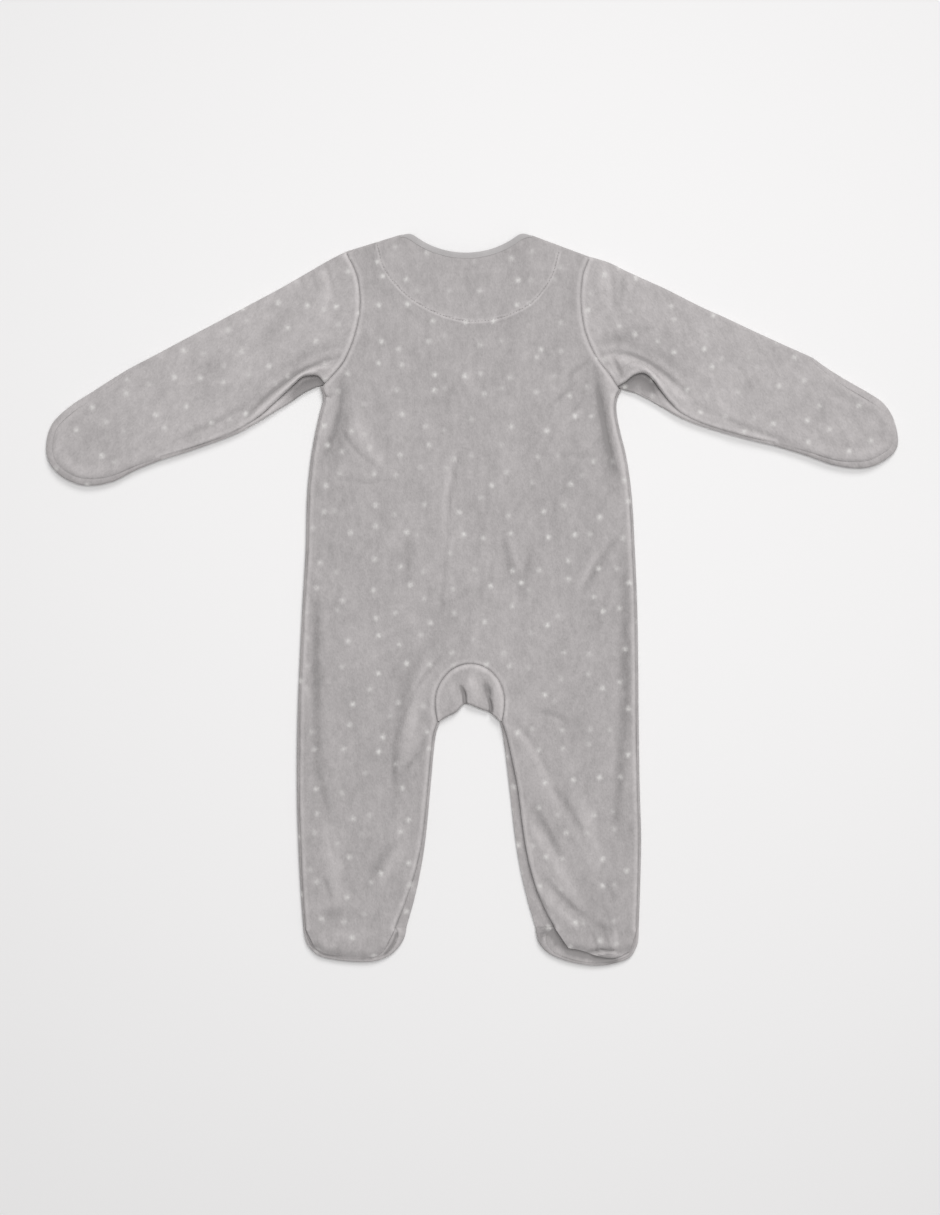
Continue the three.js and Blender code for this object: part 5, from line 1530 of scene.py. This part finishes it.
class SleepsuitColours(PropertyGroup):
    velour: colour_setting("Velour", "Main grey of the velour", "#AFABAB")
    spot: colour_setting("Spots", "Colour of the small printed spots", "#E0DEDC")
    jersey: colour_setting("Facing and Binding", "Grey of the thin jersey at the neck", "#B5B2B2")
    thread: colour_setting("Thread", "Colour of the topstitching", "#878382")
    stud: colour_setting("Press Studs", "Colour of the painted press studs", "#B2AEAD")
    board: colour_setting("Surface", "White of the surface that it lies on", "#F1F0F0")


class SLEEPSUIT_OT_back(Operator):
    """Cut the back: torso, leg backs and heels in one piece"""

    bl_idname = "sleepsuit.back"
    bl_label = "Back"

    def execute(self, context):
        grids = [grid(p, back_height(p)) for side in SIDES for p in back_grids(side)]
        velvet = ready("cotton_velour_spotted", velour)
        obj = cloth("back", "velour", grids, 1, velvet, BACK_SEAMS, stitches=[STITCH_RUN])
        return {"FINISHED"}


class SLEEPSUIT_OT_fronts(Operator):
    """Cut the two fronts, which lap at the placket under the garment"""

    bl_idname = "sleepsuit.fronts"
    bl_label = "Fronts"

    def execute(self, context):
        velvet = ready("cotton_velour_spotted", velour)
        for side in SIDES:
            obj = cloth("front_" + side, "velour", front_grids(side), -1, velvet, fold_shaded=False)
        return {"FINISHED"}


class SLEEPSUIT_OT_sleeves(Operator):
    """Cut the two sleeves, each in one with the back of its closed end"""

    bl_idname = "sleepsuit.sleeves"
    bl_label = "Sleeves"

    def execute(self, context):
        for side in SIDES:
            grids, seams = sleeve_grids(side)
            shade = [(plan(HOLLOWS[side]), HOLLOW_REACH)]
            velvet = sleeve_velour(side)
            obj = cloth("sleeve_" + side, "velour", grids, 1, velvet, seams, shade)
        return {"FINISHED"}


class SLEEPSUIT_OT_mitts(Operator):
    """Cut the undersides of the two closed sleeve ends"""

    bl_idname = "sleepsuit.mitts"
    bl_label = "Closed Sleeve Ends"

    def execute(self, context):
        for side in SIDES:
            flat, edge = tray_grids(*mitt_curves(side, SEAM_GAP), ROLL, steps(40), steps(30))
            back = -WRIST_HEM * (on_sleeve(side, 1, 0) - on_sleeve(side, 0, 0))
            hem = flat[0][2:-2][None, :] + lerp(back, 0, steps(6))[:, None]
            grids, velvet = [grid(flat, 0), grid(*edge), grid(hem, 0)], sleeve_velour(side)
            obj = cloth("mitt_" + side, "velour", grids, -1, velvet, fold_shaded=False)
        return {"FINISHED"}


class SLEEPSUIT_OT_gusset(Operator):
    """Cut the crotch gusset, folded between the legs"""

    bl_idname = "sleepsuit.gusset"
    bl_label = "Gusset"

    def execute(self, context):
        velvet = ready("cotton_velour_plain", velour, spotted=False, tone=PLAIN_TONE)
        obj = cloth("gusset", "plain_velour", [gusset_grid()], 1, velvet, [GUSSET_RUN])
        return {"FINISHED"}


class SLEEPSUIT_OT_feet(Operator):
    """Cut the uppers and soles of the two feet"""

    bl_idname = "sleepsuit.feet"
    bl_label = "Feet"

    def execute(self, context):
        velvet = ready("cotton_velour_spotted", velour)
        bare = ready("cotton_velour_plain", velour, spotted=False, tone=PLAIN_TONE)
        for side in SIDES:
            rim, seam = foot_curves(side)
            flat, edge = tray_grids(rim, seam, FOOT_ROLL, steps(36), steps(16))
            name = "foot_upper_" + side
            grids = [grid(flat, 0), grid(*edge)]
            shade = [(plan(FOOT_HOLLOWS[side]), SOLES[side]["shade"])]
            obj = cloth(name, "velour", grids, -1, velvet, [seam(steps(60))], shade)
            sole = {"hollows": shade, "thickness": SOLE_CLOTH}
            obj = cloth("sole_" + side, "plain_velour", [sole_grid(side)], 1, bare, **sole)
            flat, area = (0.078, SOLES[side]["width"] * MM), SOLES[side]["area"] * MM * MM
        return {"FINISHED"}


class SLEEPSUIT_OT_neck(Operator):
    """Cut the half-moon facing and bind the neck edge"""

    bl_idname = "sleepsuit.neck"
    bl_label = "Neck Facing and Binding"

    def execute(self, context):
        colours = context.scene.sleepsuit_colours
        knit = ready("cotton_jersey", jersey, colours.jersey)
        rib = ready("cotton_rib_binding", jersey, colours.jersey, 0.0009)
        u, v = steps(60)[None, :], steps(20)[:, None]
        angle = lerp(-np.pi / 2, np.pi / 2, u)
        # the facing stops short of the neck's corners, and hangs just under the back
        neck = back_neck(lerp(-NECK_ANGLE, NECK_ANGLE, u) * 0.94, -3)
        edge = FACING_MIDDLE - 1j * FACING_INSET + (FACING_HALF - FACING_INSET) * np.sin(angle)
        edge = edge - 1j * (FACING_DEPTH - FACING_INSET) * np.cos(angle)
        places = lerp(neck, edge, v)
        heights = back_height(places) - CLOTH - 0.55
        facing = {"thickness": FACING_CLOTH, "fold_shaded": False}
        obj = cloth("neck_facing", "facing", [grid(places, heights)], 1, knit, **facing)

        folded = {"ending": "_strip", "thickness": BINDING_CLOTH, "fold_shaded": False}

        def bind(under, strip):
            obj = cloth("neck_binding_" + under, "binding", [strip], 1, rib, **folded)

        across = lerp(0.44, 1, steps(40))
        widths = lerp(0.3, 1, smooth(across, 0.44, 0.54))
        widths = there_and_back(widths, widths)
        edge = there_and_back(*[back_top(side, across) for side in SIDES])
        out = there_and_back(BINDING_SECTION["out"], BINDING_SECTION["out"])
        height = there_and_back(BINDING_SECTION["height"], -BINDING_SECTION["height"])
        strip = binding_grid(edge, out, height, back_height(edge) - CLOTH / 2, widths)
        bind("back", strip)
        turns = np.radians(np.linspace(30, 330, 17))
        out = SEAM_GAP + BINDING_WIDTH * (0.5 - 0.5 * np.cos(turns))
        for side in SIDES:
            way = -OUTWARDS[side]
            end = front_neck_angle(CENTRE_X + way * LAP_OVER)
            edge = front_neck(lerp(-way * np.pi / 2, end, steps(60))[::way])
            lifts = front_lift(side, edge) + CLOTH / 2
            strip = binding_grid(edge, out, CLOTH / 2 * np.sin(turns), lifts)
            bind("front_" + side, strip)
        return {"FINISHED"}


class SLEEPSUIT_OT_studs(Operator):
    """Set the press studs down the placket"""

    bl_idname = "sleepsuit.studs"
    bl_label = "Press Studs"

    def execute(self, context):
        sizes, colours = context.scene.sleepsuit_sizes, context.scene.sleepsuit_colours
        lacquer = ready("lacquered_brass_stud", painted, colours.stud, 0.35)
        # radius and height of the section, from the middle of the cap to the middle of the plate
        section = table(
            "radius height",
            (0, 0.1),
            (2.6, 0.0),
            (4.5, 0.02),
            (5.0, 0.14),
            (5.0, 0.24),
            (4.8, 0.28),
            (1.8, 0.28),
            (1.8, 2.92),
            (4.2, 2.92),
            (4.4, 3.0),
            (4.4, 3.1),
            (3.8, 3.18),
            (0, 3.18),
        )
        turns = np.linspace(0, 2 * np.pi, sizes.stud_segments + 1)
        ring = section["radius"][:, None] * np.exp(1j * turns)[None, :]
        mesh = sheet_mesh("stud", [grid(ring + MIDDLE, section["height"][:, None])], -1)
        stud = new_object("stud_section", mesh, lacquer)
        points = bpy.data.meshes.new("stud_points")
        rows = [grid(np.array(CENTRE_X + 1j * y), 0).tolist() for y in STUD_YS]
        points.from_pydata(rows, [], [])
        tree, inputs = stud_tree()
        obj = grown("press_studs", points, tree, inputs, {"Stud": stud, "Material": lacquer})
        bpy.data.objects.remove(stud)
        place(obj, ["stud_%d" % (i + 1) for i in range(len(STUD_YS))], "stud")
        return {"FINISHED"}


class SLEEPSUIT_OT_stitching(Operator):
    """Sew the topstitching of the facing and of the placket"""

    bl_idname = "sleepsuit.stitching"
    bl_label = "Topstitching"

    def execute(self, context):
        sizes, colours = context.scene.sleepsuit_sizes, context.scene.sleepsuit_colours
        thread = ready("spun_polyester_thread", painted, colours.thread, 0.7)
        arc = curve_through(plan(FACING_STITCHES))(steps(240))
        above = [grid(arc, back_height(arc) - 0.05)]
        ys = lerp(*PLACKET_STITCH_ENDS, steps(90))
        beneath = [grid(CENTRE_X + x + 1j * ys, 0.05) for x in (PLACKET_STITCH_X, -PLACKET_STITCH_X)]
        tree, inputs = stitch_tree()
        values = {"Pitch": sizes.stitch_pitch, "Length": sizes.stitch_length}
        values.update(Thread=sizes.thread, Material=thread)
        for name, runs in (("facing_stitches", above), ("placket_stitches", beneath)):
            obj = grown(name, path_mesh(name, runs), tree, inputs, values)
            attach(obj, "root")
        return {"FINISHED"}


class SLEEPSUIT_OT_stage(Operator):
    """Set the white surface, the soft light and the camera"""

    bl_idname = "sleepsuit.stage"
    bl_label = "Surface, Light and Camera"

    def execute(self, context):
        scene = context.scene
        board = ready("matt_white_board", matt_board, scene.sleepsuit_colours.board)
        mesh = bpy.data.meshes.new("surface")
        half, height = 20.0, -SURFACE_DROP * MM
        turns = ((-1, -1), (1, -1), (1, 1), (-1, 1))
        corners = [(half * x, half * y, height) for x, y in turns]
        mesh.from_pydata(corners, [], [(0, 1, 2, 3)])
        floor = new_object("surface", mesh, board)

        world = bpy.data.worlds.new("studio")
        world.use_nodes = True
        world.node_tree.nodes["Background"].inputs[0].default_value = (1, 1, 1, 1)
        world.node_tree.nodes["Background"].inputs[1].default_value = 0.30
        scene.world = world
        # a large soft box overhead, and a low broad light from beyond the neck that shows the folds
        lights = [
            ("overhead", "AREA", {"size": 1.0, "energy": 14.0}, (0.12, 0.25, 1.6)),
            ("window", "SUN", {"angle": math.radians(24), "energy": 1.25}, (0.5, 1.5, 1.35)),
        ]
        for name, kind, settings, spot in lights:
            data = bpy.data.lights.new(name, kind)
            for key, value in settings.items():
                setattr(data, key, value)
            light = bpy.data.objects.new(name, data)
            scene.collection.objects.link(light)
            light.location = spot
        # the last one, the low one, turns to the garment
        light.rotation_euler = (-light.location).to_track_quat("-Z", "Y").to_euler()

        lens = {"lens": 60, "sensor_width": 36, "clip_end": 20}
        camera = bpy.data.objects.new("camera", bpy.data.cameras.new("camera"))
        scene.collection.objects.link(camera)
        for key, value in lens.items():
            setattr(camera.data, key, value)
        over = CAMERA_OVER - MIDDLE
        camera.location = (over.real * MM, over.imag * MM, CAMERA_HEIGHT * MM)
        scene.camera = camera
        scene.view_settings.view_transform = "Standard"
        return {"FINISHED"}


class SLEEPSUIT_PT_panel(Panel):
    """The sleepsuit's pieces"""

    bl_label = "Sleepsuit"
    bl_idname = "SLEEPSUIT_PT_panel"
    bl_space_type = "VIEW_3D"
    bl_region_type = "UI"
    bl_category = "Sleepsuit"

    def draw(self, context):
        for group in (context.scene.sleepsuit_sizes, context.scene.sleepsuit_colours):
            box = self.layout.box()
            for name in group.__annotations__:
                box.prop(group, name)
        for operator in OPERATORS:
            self.layout.operator(operator.bl_idname)


OPERATORS = (
    SLEEPSUIT_OT_back,
    SLEEPSUIT_OT_fronts,
    SLEEPSUIT_OT_sleeves,
    SLEEPSUIT_OT_mitts,
    SLEEPSUIT_OT_gusset,
    SLEEPSUIT_OT_feet,
    SLEEPSUIT_OT_neck,
    SLEEPSUIT_OT_studs,
    SLEEPSUIT_OT_stitching,
    SLEEPSUIT_OT_stage,
)
CLASSES = (SleepsuitSizes, SleepsuitColours, *OPERATORS, SLEEPSUIT_PT_panel)


def register():
    for cls in CLASSES:
        bpy.utils.register_class(cls)
    bpy.types.Scene.sleepsuit_sizes = PointerProperty(type=SleepsuitSizes)
    bpy.types.Scene.sleepsuit_colours = PointerProperty(type=SleepsuitColours)


def unregister():
    del bpy.types.Scene.sleepsuit_colours
    del bpy.types.Scene.sleepsuit_sizes
    for cls in reversed(CLASSES):
        bpy.utils.unregister_class(cls)


def main():
    register()
    for operator in OPERATORS:
        group, name = operator.bl_idname.split(".")
        getattr(getattr(bpy.ops, group), name)()


if __name__ == "__main__":
    main()
